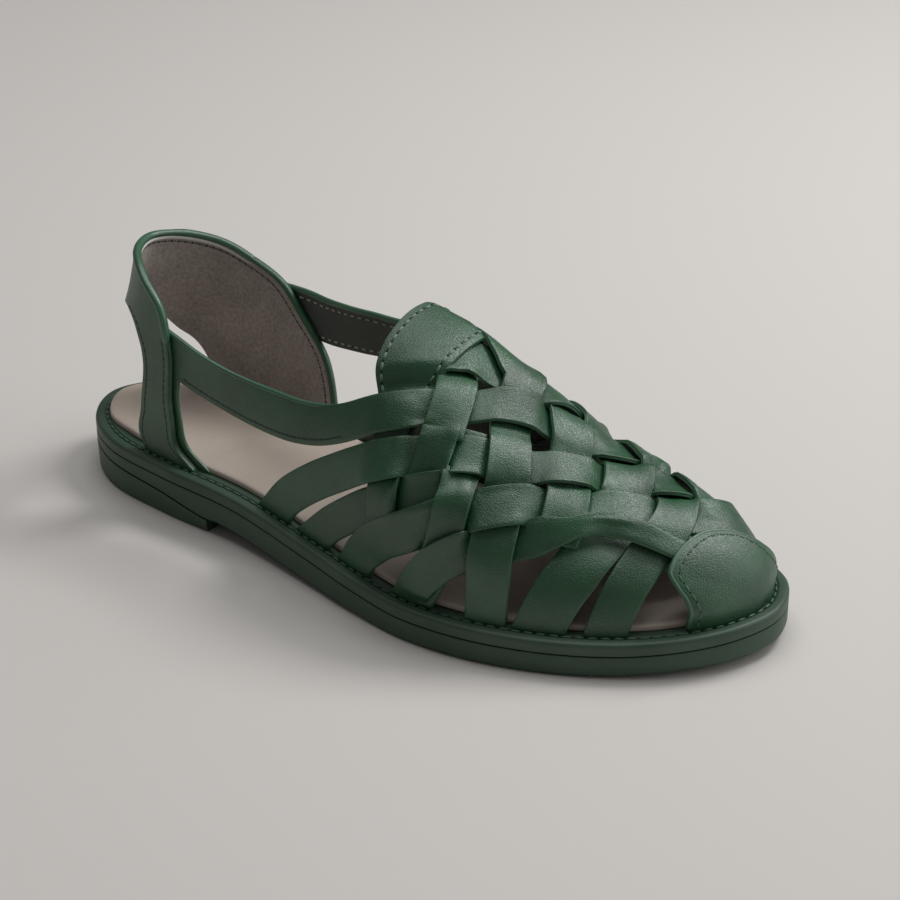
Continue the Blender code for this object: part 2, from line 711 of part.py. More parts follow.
# How the heel leans in: scale of the feather line across, and how far forward its back lies as a
# share of LENGTH, by height as a share of COLLAR_HEIGHT.
#       height  across  forward
HEEL_LEAN = (
    (0.00, 1.00, 0.000),
    (0.30, 1.00, 0.004),
    (0.60, 0.99, 0.028),
    (0.80, 0.975, 0.050),
    (1.00, 0.955, 0.068),
)


def heel_point(run, height):
    """Point of the heel wall at a run round the feather line and a height above it."""
    ring = np.vstack([FEATHER[TOE_INDEX:], FEATHER[: TOE_INDEX + 1]])
    steps = np.linalg.norm(np.diff(ring, axis=0), axis=1)
    distance = np.concatenate([[0], np.cumsum(steps)])
    distance -= distance[len(FEATHER) - TOE_INDEX]
    across = np.interp(run, distance, ring[:, 0])
    along = np.interp(run, distance, ring[:, 1])
    share = height / COLLAR_HEIGHT
    middle = BALL_WIDTH * HEEL_TIP[1]
    fade = np.clip(1 - (along - WELT_WIDTH) / (0.4 * LENGTH), 0, 1)
    up = welt_height(along) + GAP + height
    across = middle + (across - middle) * smooth(HEEL_LEAN, share, 1)
    along = along + LENGTH * smooth(HEEL_LEAN, share, 2) * fade
    return np.stack([across - CENTRE[0], along - CENTRE[1], up], axis=-1)


def make_heel_counter(finish):
    edges = curve_through(COUNTER, 2, closed=False)
    across = np.linspace(0, 1, 7)[None, :, None]
    band = edges[:, None, :2] * (1 - across) + edges[:, None, 2:] * across
    run, height = band[..., 0] * LENGTH, np.maximum(band[..., 1], 0) * COLLAR_HEIGHT
    point = heel_point(run, height)
    nudge = 0.001
    by_run = heel_point(run + nudge, height) - heel_point(run - nudge, height)
    by_height = heel_point(run, height + nudge) - heel_point(run, height)
    normal = np.cross(by_run, by_height)
    normal /= np.linalg.norm(normal, axis=-1)[..., None]
    return walled("heel_counter", point + normal * COUNTER_LEATHER, point, finish)


def main():
    for old in list(bpy.data.objects):
        bpy.data.objects.remove(old)
    leather = material("green leather", "5d7463", 0.42)
    sole_edge = material("green sole edge", "55695a", 0.5)
    footbed = material("taupe footbed leather", "b3a49b", 0.6)
    make_outsole(sole_edge)
    make_heel_block(sole_edge)
    make_midsole(sole_edge)
    make_insole(footbed)
    make_woven_upper(leather)
    make_toe_cap(leather)
    make_tongue(leather)
    make_heel_counter(leather)


main()
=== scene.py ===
"""Finish of the woven leather flat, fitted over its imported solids."""

import math

import bpy
import numpy as np
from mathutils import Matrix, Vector
from mathutils.kdtree import KDTree


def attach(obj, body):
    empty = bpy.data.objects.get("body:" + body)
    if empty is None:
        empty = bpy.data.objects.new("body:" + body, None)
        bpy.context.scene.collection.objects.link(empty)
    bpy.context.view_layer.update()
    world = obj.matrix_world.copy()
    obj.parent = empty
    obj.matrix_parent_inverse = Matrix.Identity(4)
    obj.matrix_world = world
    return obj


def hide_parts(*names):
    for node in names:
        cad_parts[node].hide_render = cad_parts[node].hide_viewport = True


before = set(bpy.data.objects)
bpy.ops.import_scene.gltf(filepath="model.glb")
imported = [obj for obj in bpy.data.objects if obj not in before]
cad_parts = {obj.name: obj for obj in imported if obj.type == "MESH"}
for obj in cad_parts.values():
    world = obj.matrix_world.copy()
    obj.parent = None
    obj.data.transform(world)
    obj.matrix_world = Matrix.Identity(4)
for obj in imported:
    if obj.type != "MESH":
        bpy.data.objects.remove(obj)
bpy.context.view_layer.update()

# Outsole: the ground layer of dark green moulded rubber, with its waist, low heel seat and toe
# spring. It is moulded in one piece with smooth sides, and is cemented under the midsole.

LENGTH = 0.265
BALL_WIDTH = 0.098
SOLE_THICKNESS = 0.0072
HEEL_RISE = 0.0073
TOE_SPRING = 0.0032
MIDSOLE_THICKNESS = 0.0045
WELT_WIDTH = 0.0065
HEEL_LENGTH = 0.0735
GAP = 0.0003
SIDE_STEPS = 10  # outline points for each span of the plan
SIDE_ROUND = 0.0009
JOINT_ROUND = 0.00035
EDGE_FADE = 0.004  # length over which the one rounding turns into the other

# Sole seen from above: along as a share of LENGTH, both edges as shares of BALL_WIDTH.
#         along   outer   inner
PLAN = (
    (0.025, 0.155, -0.160),
    (0.090, 0.286, -0.298),
    (0.200, 0.347, -0.325),
    (0.330, 0.378, -0.290),
    (0.450, 0.448, -0.279),
    (0.550, 0.516, -0.320),
    (0.630, 0.552, -0.395),
    (0.710, 0.541, -0.444),
    (0.790, 0.484, -0.451),
    (0.870, 0.383, -0.421),
    (0.935, 0.255, -0.347),
    (0.980, 0.105, -0.240),
)
HEEL_TIP = (0.0, -0.010)
TOE_TIP = (1.0, -0.070)

# Sole seen from the side, as shares of HEEL_RISE, TOE_SPRING and SOLE_THICKNESS.
#         along  rise   spring  thickness
PROFILE = (
    (0.00, 1.000, 0.00, 0.53),
    (0.12, 0.950, 0.00, 0.62),
    (0.20, 0.900, 0.00, 0.76),
    (0.28, 0.815, 0.00, 1.15),
    (0.45, 0.385, 0.00, 1.18),
    (0.56, 0.120, 0.00, 1.04),
    (0.63, 0.000, 0.00, 1.00),
    (0.79, 0.000, 0.00, 1.00),
    (0.87, 0.000, 0.12, 0.96),
    (0.93, 0.000, 0.45, 0.92),
    (1.00, 0.000, 1.00, 1.02),
)


def smooth(table, value, column):
    """Column of a table at a value of its first one, on a curve that never overshoots its rows."""
    rows = np.array([(row[0], row[column]) for row in table], float)
    x, y = rows[:, 0], rows[:, 1]
    value = np.clip(np.asarray(value, float), x[0], x[-1])
    step, slope = np.diff(x), np.diff(y) / np.diff(x)
    tangent = np.zeros(len(x))
    tangent[0], tangent[-1] = slope[0], slope[-1]
    before, after = slope[:-1], slope[1:]
    steady = before * after > 0
    tangent[1:-1][steady] = 2 * before[steady] * after[steady] / (before + after)[steady]
    k = np.clip(np.searchsorted(x, value, side="right") - 1, 0, len(x) - 2)
    t = (value - x[k]) / step[k]
    return (
        y[k] * (1 + 2 * t) * (1 - t) ** 2
        + y[k + 1] * t**2 * (3 - 2 * t)
        + step[k] * (tangent[k] * t * (1 - t) ** 2 + tangent[k + 1] * t**2 * (t - 1))
    )


def between(a, b, start, end, t):
    """Point on the straight way from a, at one value of t, to b, at another."""
    return (a * (end - t) + b * (t - start)) / (end - start)


def curve_through(points, steps, closed):
    """Catmull-Rom curve through points, with knots spaced by the root of their distance."""
    points = np.asarray(points, float)
    if closed:
        points = points.take(range(-1, len(points) + 2), axis=0, mode="wrap")
    else:
        points = np.vstack([2 * points[0] - points[1], points, 2 * points[-1] - points[-2]])
    curve = []
    for first in range(len(points) - 3):
        a, b, c, d = points[first : first + 4]
        gaps = [math.sqrt(np.linalg.norm(q - p)) for p, q in ((a, b), (b, c), (c, d))]
        t0, t1, t2, t3 = np.cumsum([0.0] + gaps)
        for t in np.linspace(t1, t2, steps, endpoint=False):
            bc = between(b, c, t1, t2, t)
            left = between(between(a, b, t0, t1, t), bc, t0, t2, t)
            right = between(bc, between(c, d, t2, t3, t), t1, t3, t)
            curve.append(between(left, right, t1, t2, t))
    if not closed:
        curve.append(points[-2])
    return np.array(curve)


def run_of(line):
    """Distance along a line at each of its points."""
    return np.concatenate([[0], np.cumsum(np.linalg.norm(np.diff(line, axis=0), axis=1))])


def at_run(line, run, distance):
    """Place on a line at a distance along it, or places at several."""
    return np.stack([np.interp(distance, run, column) for column in line.T], axis=-1)


def plan_outline(steps):
    """Edge of the sole, anticlockwise from the back of the heel: across and along, in metres."""
    outer = [(row[1], row[0]) for row in PLAN]
    inner = [(row[2], row[0]) for row in reversed(PLAN)]
    points = [HEEL_TIP[::-1]] + outer + [TOE_TIP[::-1]] + inner
    return curve_through(np.array(points) * (BALL_WIDTH, LENGTH), steps, closed=True)


OUTLINE = plan_outline(SIDE_STEPS)
CENTRE = (OUTLINE.max(axis=0) + OUTLINE.min(axis=0)) / 2
TOE_INDEX = (len(PLAN) + 1) * SIDE_STEPS


def inset_outline(distance):
    """The sole's edge moved inwards by one distance, or by one for each of its points."""
    along = np.roll(OUTLINE, -1, axis=0) - np.roll(OUTLINE, 1, axis=0)
    along /= np.linalg.norm(along, axis=1)[:, None]
    inward = np.stack([-along[:, 1], along[:, 0]], axis=1)
    return OUTLINE + inward * np.broadcast_to(distance, len(OUTLINE))[:, None]


def groove_height(along):
    share = along / LENGTH
    return (
        SOLE_THICKNESS
        + HEEL_RISE * smooth(PROFILE, share, 1)
        + TOE_SPRING * smooth(PROFILE, share, 2)
    )


def underside_height(along):
    return groove_height(along) - SOLE_THICKNESS * smooth(PROFILE, along / LENGTH, 3)


def welt_height(along):
    return groove_height(along) + MIDSOLE_THICKNESS


def sole_ring(outline, height, drop=0.0):
    """Outline laid on a height that depends on the distance along the sole."""
    return np.column_stack([outline - CENTRE, height(outline[:, 1]) - drop])


def inset_ring(distance, height, drop=0.0):
    return sole_ring(inset_outline(distance), height, drop)


def ease(value):
    value = np.clip(value, 0, 1)
    return value * value * (3 - 2 * value)


def mesh_piece(name, points, faces, *materials):
    mesh = bpy.data.meshes.new(name)
    mesh.from_pydata([tuple(point) for point in points], [], faces)
    for made in materials:
        mesh.materials.append(made)
    mesh.update()
    piece = bpy.data.objects.new(name, mesh)
    bpy.context.scene.collection.objects.link(piece)
    return piece


def smooth_faces(piece, degrees=40):
    """Smooth shading, with the edges sharper than an angle left crisp."""
    bpy.ops.object.select_all(action="DESELECT")
    piece.select_set(True)
    bpy.context.view_layer.objects.active = piece
    bpy.ops.object.shade_smooth_by_angle(angle=math.radians(degrees))


def band(low, high):
    """Faces between two closed rings, each given by the numbers of its points."""
    return list(zip([*high[1:], high[0]], high, low, [*low[1:], low[0]]))


def lofted(name, rings, material):
    """Closed shell through rings of equal length, lowest first, closed by ladders of faces."""
    count, faces = len(rings[0]), []
    levels = [range(first, first + count) for first in range(0, count * len(rings), count)]
    for low, high in zip(levels, levels[1:]):
        faces += band(low, high)
    for i in range(count // 2):
        rung = list(dict.fromkeys([i, i + 1, count - i - 1, (count - i) % count]))
        if len(rung) > 2:
            faces += [tuple(levels[-1][k] for k in rung), tuple(reversed(rung))]
    piece = mesh_piece(name, np.concatenate(rings), faces, material)
    smooth_faces(piece)
    return piece


def linear(code):
    """Linear colour from an sRGB one in hexadecimal."""
    channels = [int(code[i : i + 2], 16) / 255 for i in (0, 2, 4)]
    made = [c / 12.92 if c <= 0.04045 else ((c + 0.055) / 1.055) ** 2.4 for c in channels]
    return (*made, 1.0)


def set_inputs(tree, node, inputs):
    """Sets each input of a node to a value, or links it to an output or to a node's first one."""
    for key, value in inputs.items():
        if isinstance(value, bpy.types.Node):
            value = value.outputs[0]
        if isinstance(value, bpy.types.NodeSocket):
            tree.links.new(value, node.inputs[key])
        else:
            node.inputs[key].default_value = value


def add_node(tree, kind, inputs, **settings):
    """A shader node with its settings and its inputs."""
    node = tree.nodes.new("ShaderNode" + kind)
    for key, value in settings.items():
        setattr(node, key, value)
    set_inputs(tree, node, inputs)
    return node


def new_finish(name):
    """A material with its tree, its shader and its coordinates in metres."""
    made = bpy.data.materials.new(name)
    made.use_nodes = True
    tree = made.node_tree
    shader = tree.nodes["Principled BSDF"]
    place = add_node(tree, "TexCoord", {}).outputs["Object"]
    return made, tree, shader, place


def two_tones(tree, height, low, high, dark, light):
    """A colour that turns from dark to light between two values of a height."""
    tone = add_node(tree, "ValToRGB", {"Fac": height})
    for element, position, code in zip(tone.color_ramp.elements, (low, high), (dark, light)):
        element.position, element.color = position, linear(code)
    return tone


# Moulded polyurethane rubber: satin, with a faint cast-skin pebble and a little dust on it.
PEBBLE = 0.0009  # coarser than the real skin, so that it shows
RUBBER_PATCH = 0.022


def rubber_finish(name, colour, dusty):
    made, tree, shader, place = new_finish(name)
    patch = add_node(tree, "TexNoise", {"Vector": place, "Scale": 1 / RUBBER_PATCH, "Detail": 4.0})
    tone = two_tones(tree, patch, 0.38, 0.72, colour, dusty)
    pebble = add_node(tree, "TexNoise", {"Vector": place, "Scale": 1 / PEBBLE, "Detail": 3.0})
    bump = add_node(tree, "Bump", {"Strength": 0.35, "Distance": 0.0001, "Height": pebble})
    rough = add_node(tree, "MapRange", {"Value": patch, "To Min": 0.42, "To Max": 0.56})
    set_inputs(tree, shader, {"Base Color": tone, "Normal": bump, "Roughness": rough, "IOR": 1.5})
    return made


rubber = rubber_finish("moulded green rubber", "304c39", "3a5343")

# The bottom edge is rounded in front of the heel block, and nearly sharp where it meets the block.
edge, joint = SIDE_ROUND, JOINT_ROUND
below = joint + (edge - joint) * ease((OUTLINE[:, 1] - HEEL_LENGTH) / EDGE_FADE)
outsole = lofted(
    "outsole_rubber",
    [
        inset_ring(2 * below, underside_height),
        inset_ring(0.9 * below, underside_height, -0.2 * below),
        inset_ring(0.3 * below, underside_height, -0.8 * below),
        inset_ring(0.0, underside_height, -1.8 * below),
        inset_ring(0.0, groove_height, joint),
        inset_ring(0.3 * joint, groove_height, 0.3 * joint),
        inset_ring(joint, groove_height),
        inset_ring(3 * joint, groove_height),
    ],
    rubber,
)
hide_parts("outsole")
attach(outsole, "root")

# Heel block: the low heel of the same rubber, glued under the rear of the outsole. A fine line
# shows where the two meet, and its front face, the breast, is cut square.


def heel_ring(distance, height, drop):
    """The part of a ring of the sole that lies behind the heel's breast."""
    sides = np.split(inset_outline(distance), [TOE_INDEX])
    outer, inner = (side[side[:, 1] < HEEL_LENGTH - 2 * SIDE_ROUND] for side in sides)
    breast = [
        (np.interp(HEEL_LENGTH, side[:, 1], side[:, 0]), HEEL_LENGTH)
        for side in (sides[0], sides[1][::-1])
    ]
    return sole_ring(np.vstack([outer, breast, inner]), height, drop)


def floor_height(along):
    return np.zeros_like(along)


heel_block = lofted(
    "heel_block_rubber",
    [
        heel_ring(2 * edge, floor_height, 0),
        heel_ring(0.8 * edge, floor_height, -0.3 * edge),
        heel_ring(0.4 * edge, floor_height, -1.0 * edge),
        heel_ring(0.0, underside_height, GAP + joint),
        heel_ring(0.3 * joint, underside_height, GAP + 0.3 * joint),
        heel_ring(2 * joint, underside_height, GAP),
    ],
    rubber,
)
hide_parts("heel_block")
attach(heel_block, "root")

# Midsole and welt: the layer between upper and outsole, whose ledge stands out round the upper.
# Its top outer edge is rounded off and polished by wear, and a stitched groove runs at the feet.

WELT_ROUND = 0.0014
GROOVE_INSET = 0.0041
GROOVE_HALF = 0.0007
GROOVE_DEPTH = 0.0005
welt_rubber = rubber_finish("burnished welt rubber", "334c3b", "415747")
midsole = lofted(
    "welt_midsole",
    [
        inset_ring(3 * joint, groove_height, -GAP),
        inset_ring(joint, groove_height, -GAP),
        inset_ring(0.3 * joint, groove_height, -GAP - 0.3 * joint),
        inset_ring(0.0, groove_height, -GAP - joint),
        inset_ring(0.0, welt_height, WELT_ROUND),
        inset_ring(0.12 * WELT_ROUND, welt_height, 0.55 * WELT_ROUND),
        inset_ring(0.45 * WELT_ROUND, welt_height, 0.18 * WELT_ROUND),
        inset_ring(WELT_ROUND, welt_height, 0.02 * WELT_ROUND),
        inset_ring(GROOVE_INSET - 1.4 * GROOVE_HALF, welt_height),
        inset_ring(GROOVE_INSET - 0.8 * GROOVE_HALF, welt_height, 0.8 * GROOVE_DEPTH),
        inset_ring(GROOVE_INSET + 0.8 * GROOVE_HALF, welt_height, GROOVE_DEPTH),
        inset_ring(GROOVE_INSET + 1.6 * GROOVE_HALF, welt_height),
    ],
    welt_rubber,
)
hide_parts("midsole")
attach(midsole, "root")

# Welt stitching: one row of thick waxed thread laid in the groove all the way round. Each stitch
# dips into a needle hole at both ends, drawn as a flat near-black ball of painted shade.

WELT_PITCH = 0.0039
WELT_STITCH = (0.0033, 0.0008, 0.0007)


def plain_finish(name, colour, roughness):
    made, tree, shader, _ = new_finish(name)
    set_inputs(tree, shader, {"Base Color": linear(colour), "Roughness": roughness})
    return made


green_thread = plain_finish("waxed green thread", "456a51", 0.5)
hole_shadow = plain_finish("painted shade in needle hole", "0b100c", 0.9)

# One stitch and one hole: a small ball, a unit across, that each row stretches and copies.
bpy.ops.object.select_all(action="DESELECT")
bpy.ops.mesh.primitive_uv_sphere_add(segments=8, ring_count=5, radius=0.5)
ball = bpy.context.object
BALL_POINTS = np.array([vertex.co for vertex in ball.data.vertices])
BALL_FACES = [tuple(face.vertices) for face in ball.data.polygons]
bpy.data.objects.remove(ball)


def unit(vectors):
    return vectors / np.maximum(np.linalg.norm(vectors, axis=-1), 1e-9)[..., None]


def stitch_row(name, line, normals, pitch, size, thread, closed=False):
    """Stitches along a line on a surface, each in the sizes given: length, width and height."""
    if closed:
        line, normals = np.vstack([line, line[:1]]), np.vstack([normals, normals[:1]])
    run = run_of(line)
    count = max(1, round(run[-1] / pitch))
    # Between the stitches lie flat near-black balls, painted shade in the needle holes.
    hole = 0.8 * size[1], 0.9 * size[1], 0.2 * size[2]
    points, faces, kinds = [], [], []
    for index in range(2 * count):
        here = run[-1] * (index + 0.5) / (2 * count)
        up = unit(at_run(normals, run, here))
        forward = unit(at_run(line, run, here + pitch / 4) - at_run(line, run, here - pitch / 4))
        axes = np.array([forward, np.cross(up, forward), up])
        extent = hole if index % 2 else size
        points.append(at_run(line, run, here) + (BALL_POINTS * extent) @ axes)
        faces += [tuple(index * len(BALL_POINTS) + k for k in face) for face in BALL_FACES]
        kinds += [index % 2] * len(BALL_FACES)
    row = mesh_piece(name, np.concatenate(points), faces, thread, hole_shadow)
    row.data.polygons.foreach_set("material_index", kinds)
    smooth_faces(row, 80)
    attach(row, "root")


seam = inset_ring(GROOVE_INSET, welt_height, 0.4 * GROOVE_DEPTH)
stitch_row(
    "stitches_welt", seam, np.tile((0.0, 0.0, 1.0), (len(seam), 1)), WELT_PITCH, WELT_STITCH,
    green_thread, closed=True,
)

# Footbed: a sheet of taupe lining leather over a thin pad, cemented on the midsole. Its surface is
# matt, with a fine pore and faint darker patches.

INSOLE_THICKNESS = 0.0018
INSOLE_CLEARANCE = 0.0012
HEEL_INSET = 0.0052
HEEL_FADE = (0.010, 0.018)  # where the heel's inset begins to turn into the full one, and its run
FOOTBED_PATCH = 0.030
PORE = 0.0011  # coarser than the real pore, so that it shows
footbed_leather, tree, shader, place = new_finish("matt taupe lining leather")
patch = add_node(tree, "TexNoise", {"Vector": place, "Scale": 1 / FOOTBED_PATCH, "Detail": 5.0})
tone = two_tones(tree, patch, 0.35, 0.70, "bbada1", "c7baae")
pore = add_node(tree, "TexNoise", {"Vector": place, "Scale": 1 / PORE, "Detail": 3.0})
bump = add_node(tree, "Bump", {"Strength": 0.55, "Distance": 0.00015, "Height": pore})
set_inputs(tree, shader, {"Base Color": tone, "Normal": bump})
set_inputs(tree, shader, {"Roughness": 0.72, "Specular IOR Level": 0.35})

full = WELT_WIDTH + INSOLE_CLEARANCE
inset = HEEL_INSET + (full - HEEL_INSET) * ease((OUTLINE[:, 1] - HEEL_FADE[0]) / HEEL_FADE[1])
top = -GAP - INSOLE_THICKNESS
footbed = lofted(
    "footbed",
    [
        inset_ring(inset, welt_height, -GAP),
        inset_ring(inset, welt_height, top + 0.0007),
        inset_ring(inset + 0.0002, welt_height, top + 0.0003),
        inset_ring(inset + 0.0008, welt_height, top),
        inset_ring(inset + 0.0030, welt_height, top),
    ],
    footbed_leather,
)
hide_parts("insole")
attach(footbed, "root")

# Woven upper: strips of dark green calf, each lined and cut with bare painted edges. They are
# woven by hand over the last, then pulled under it and cemented between midsole and insole.

INSTEP_HEIGHT = 0.070
COLLAR_HEIGHT = 0.0640
LEATHER = 0.0018
COUNTER_LEATHER = 0.0020
STRIP_WIDTH = 0.0140
STRAP_WIDTH = 0.0165
DOME_START = 0.91
DOME_POWER = 2.6
TIP_MARGIN = 0.0006
STRIP_STEP = 0.0014  # along a strip
STRIP_ACROSS = 11  # points across a strip
ACROSS = np.linspace(-1, 1, STRIP_ACROSS)
CROWN = 0.00015
LINING_LIFT = 0.0001
LAST_START = 0.05  # share of the length behind which nothing lies on the last
FOOT_DEPTH = 0.0012

# Cross sections of the last: height as a share of INSTEP_HEIGHT, ridge as a share of BALL_WIDTH.
#                               squareness
#         along  height  ridge  outer inner
SECTIONS = (
    (0.12, 1.50, -0.03, 2.2, 2.2),
    (0.20, 1.35, -0.04, 2.2, 2.2),
    (0.30, 1.12, -0.04, 2.2, 2.2),
    (0.40, 1.06, -0.05, 2.2, 2.2),
    (0.46, 1.03, -0.05, 2.2, 2.2),
    (0.52, 0.99, -0.05, 2.2, 2.1),
    (0.58, 0.915, -0.05, 2.3, 1.9),
    (0.64, 0.785, -0.05, 2.3, 1.75),
    (0.70, 0.635, -0.056, 2.4, 1.7),
    (0.76, 0.500, -0.060, 2.4, 1.7),
    (0.82, 0.407, -0.066, 2.4, 1.8),
    (0.88, 0.340, -0.072, 2.3, 1.9),
    (0.94, 0.262, -0.078, 2.1, 2.0),
    (1.00, 0.220, -0.080, 2.0, 2.0),
)
FEATHER = inset_outline(WELT_WIDTH)
FEATHER_TIP = FEATHER[TOE_INDEX, 1] / LENGTH


def edge_across(along, side):
    """Feather line at a distance along the sole, on the outer (1) or the inner (-1) side."""
    outer, inner = FEATHER[: TOE_INDEX + 1], np.vstack([FEATHER[TOE_INDEX:], FEATHER[:1]])[::-1]
    line = outer if side > 0 else inner
    return np.interp(along, line[:, 1], line[:, 0])


def last_section(share):
    """Feather edges, ridge, height and both squarenesses of the last's section at a share."""
    along = share * LENGTH
    nose = np.clip((share - DOME_START) / (FEATHER_TIP - DOME_START), 0, 1)
    height = INSTEP_HEIGHT * smooth(SECTIONS, share, 1) * (1 - nose**DOME_POWER) ** (1 / DOME_POWER)
    outer, inner = edge_across(along, 1), edge_across(along, -1)
    ridge = np.clip(BALL_WIDTH * smooth(SECTIONS, share, 2), inner, outer)
    return outer, inner, ridge, height, smooth(SECTIONS, share, 3), smooth(SECTIONS, share, 4)


def last_point(share, wrap):
    """Point of the last, by share of its length and by wrap from the outer to the inner side."""
    share, wrap = np.broadcast_arrays(np.asarray(share, float), np.asarray(wrap, float))
    outer, inner, ridge, height, outer_square, inner_square = last_section(share)
    cosine, sine = np.cos(wrap * math.pi), np.sin(wrap * math.pi)
    reach = np.where(cosine > 0, outer - ridge, ridge - inner)
    squareness = np.where(cosine > 0, outer_square, inner_square)
    across = ridge + reach * np.sign(cosine) * np.abs(cosine) ** (2 / squareness)
    up = welt_height(share * LENGTH) + GAP + height * np.abs(sine) ** (2 / squareness)
    return np.stack([across - CENTRE[0], share * LENGTH - CENTRE[1], up], axis=-1)


def address_of(points):
    """Share and wrap of the place on the last that lies straight under points near it."""
    share = np.clip((points[..., 1] + CENTRE[1]) / LENGTH, LAST_START, FEATHER_TIP - TIP_MARGIN)
    outer, inner, ridge, height, outer_square, inner_square = last_section(share)
    across = points[..., 0] + CENTRE[0] - ridge
    squareness = np.where(across > 0, outer_square, inner_square)
    across = across / np.where(across > 0, outer - ridge, ridge - inner)
    up = np.maximum(points[..., 2] - welt_height(share * LENGTH) - GAP, 0) / height
    cosine = np.sign(across) * np.abs(across) ** (squareness / 2)
    wrap = np.arctan2(up ** (squareness / 2), cosine) / math.pi
    return np.stack([share, wrap], axis=-1)


def last_frame(share, wrap):
    """Point of the last with its slope by share, and its outward normal."""
    nudge = 0.002
    share = np.clip(share, LAST_START, FEATHER_TIP - TIP_MARGIN)
    wrap = np.clip(wrap, 0.0, 1.0)
    behind, ahead = share - nudge, np.minimum(share + nudge, FEATHER_TIP - TIP_MARGIN / 2)
    low, high = np.clip(wrap - nudge, 0, 1), np.clip(wrap + nudge, 0, 1)
    by_share = last_point(ahead, wrap) - last_point(behind, wrap)
    by_wrap = last_point(share, high) - last_point(share, low)
    return last_point(share, wrap), unit(by_share), unit(np.cross(by_share, by_wrap))


# name: widths at the start and at the end, as shares of STRIP_WIDTH (of STRAP_WIDTH for the two
#       straps), share of the strip at which one turns into the other, foot at the start, foot at
#       the end, waypoints of (share of length, wrap)
ROWS = {
    "throat row": (1.26, 0.85, 0.26, 0, 1, (
        (0.553, 0.404), (0.577, 0.444), (0.589, 0.464), (0.601, 0.474), (0.623, 0.484),
        (0.642, 0.500), (0.657, 0.518), (0.666, 0.545), (0.673, 0.580), (0.679, 0.630),
        (0.683, 0.700), (0.684, 0.790), (0.681, 0.890), (0.674, 1.0))),
    "strap row": (0.88, 0.74, 0.32, 0, 1, (
        (0.180, 0.120), (0.245, 0.123), (0.310, 0.128), (0.380, 0.137), (0.425, 0.149),
        (0.460, 0.165), (0.495, 0.192), (0.537, 0.237), (0.569, 0.275), (0.597, 0.322),
        (0.630, 0.380), (0.652, 0.422), (0.674, 0.458), (0.700, 0.485), (0.735, 0.530),
        (0.765, 0.60), (0.785, 0.69), (0.792, 0.79), (0.790, 0.90), (0.780, 1.0))),
    "first row": (0.90, 0.88, 0.5, 1, 1, (
        (0.387, 0.0), (0.416, 0.034), (0.458, 0.076), (0.495, 0.111), (0.535, 0.150),
        (0.589, 0.206), (0.643, 0.277), (0.678, 0.323), (0.713, 0.370), (0.740, 0.410),
        (0.775, 0.458), (0.812, 0.525), (0.842, 0.60), (0.862, 0.69), (0.870, 0.80),
        (0.866, 0.90), (0.855, 1.0))),
    "second row": (0.84, 0.80, 0.5, 1, 0, (
        (0.460, 0.0), (0.492, 0.033), (0.530, 0.072), (0.557, 0.099), (0.607, 0.155),
        (0.650, 0.208), (0.674, 0.24))),
    "third row": (0.90, 0.88, 0.5, 1, 1, (
        (0.536, 0.0), (0.553, 0.024), (0.582, 0.059), (0.621, 0.104), (0.653, 0.147),
        (0.692, 0.212), (0.727, 0.272), (0.752, 0.314), (0.787, 0.364), (0.818, 0.399),
        (0.850, 0.436), (0.880, 0.487), (0.897, 0.54), (0.908, 0.61), (0.914, 0.70),
        (0.915, 0.80), (0.912, 0.90), (0.905, 1.0))),
    "fourth row": (0.84, 0.42, 0.57, 1, 0, (
        (0.627, 0.0), (0.648, 0.042), (0.672, 0.086), (0.708, 0.143), (0.747, 0.207),
        (0.782, 0.265), (0.813, 0.326), (0.843, 0.342), (0.870, 0.342), (0.905, 0.338))),
}
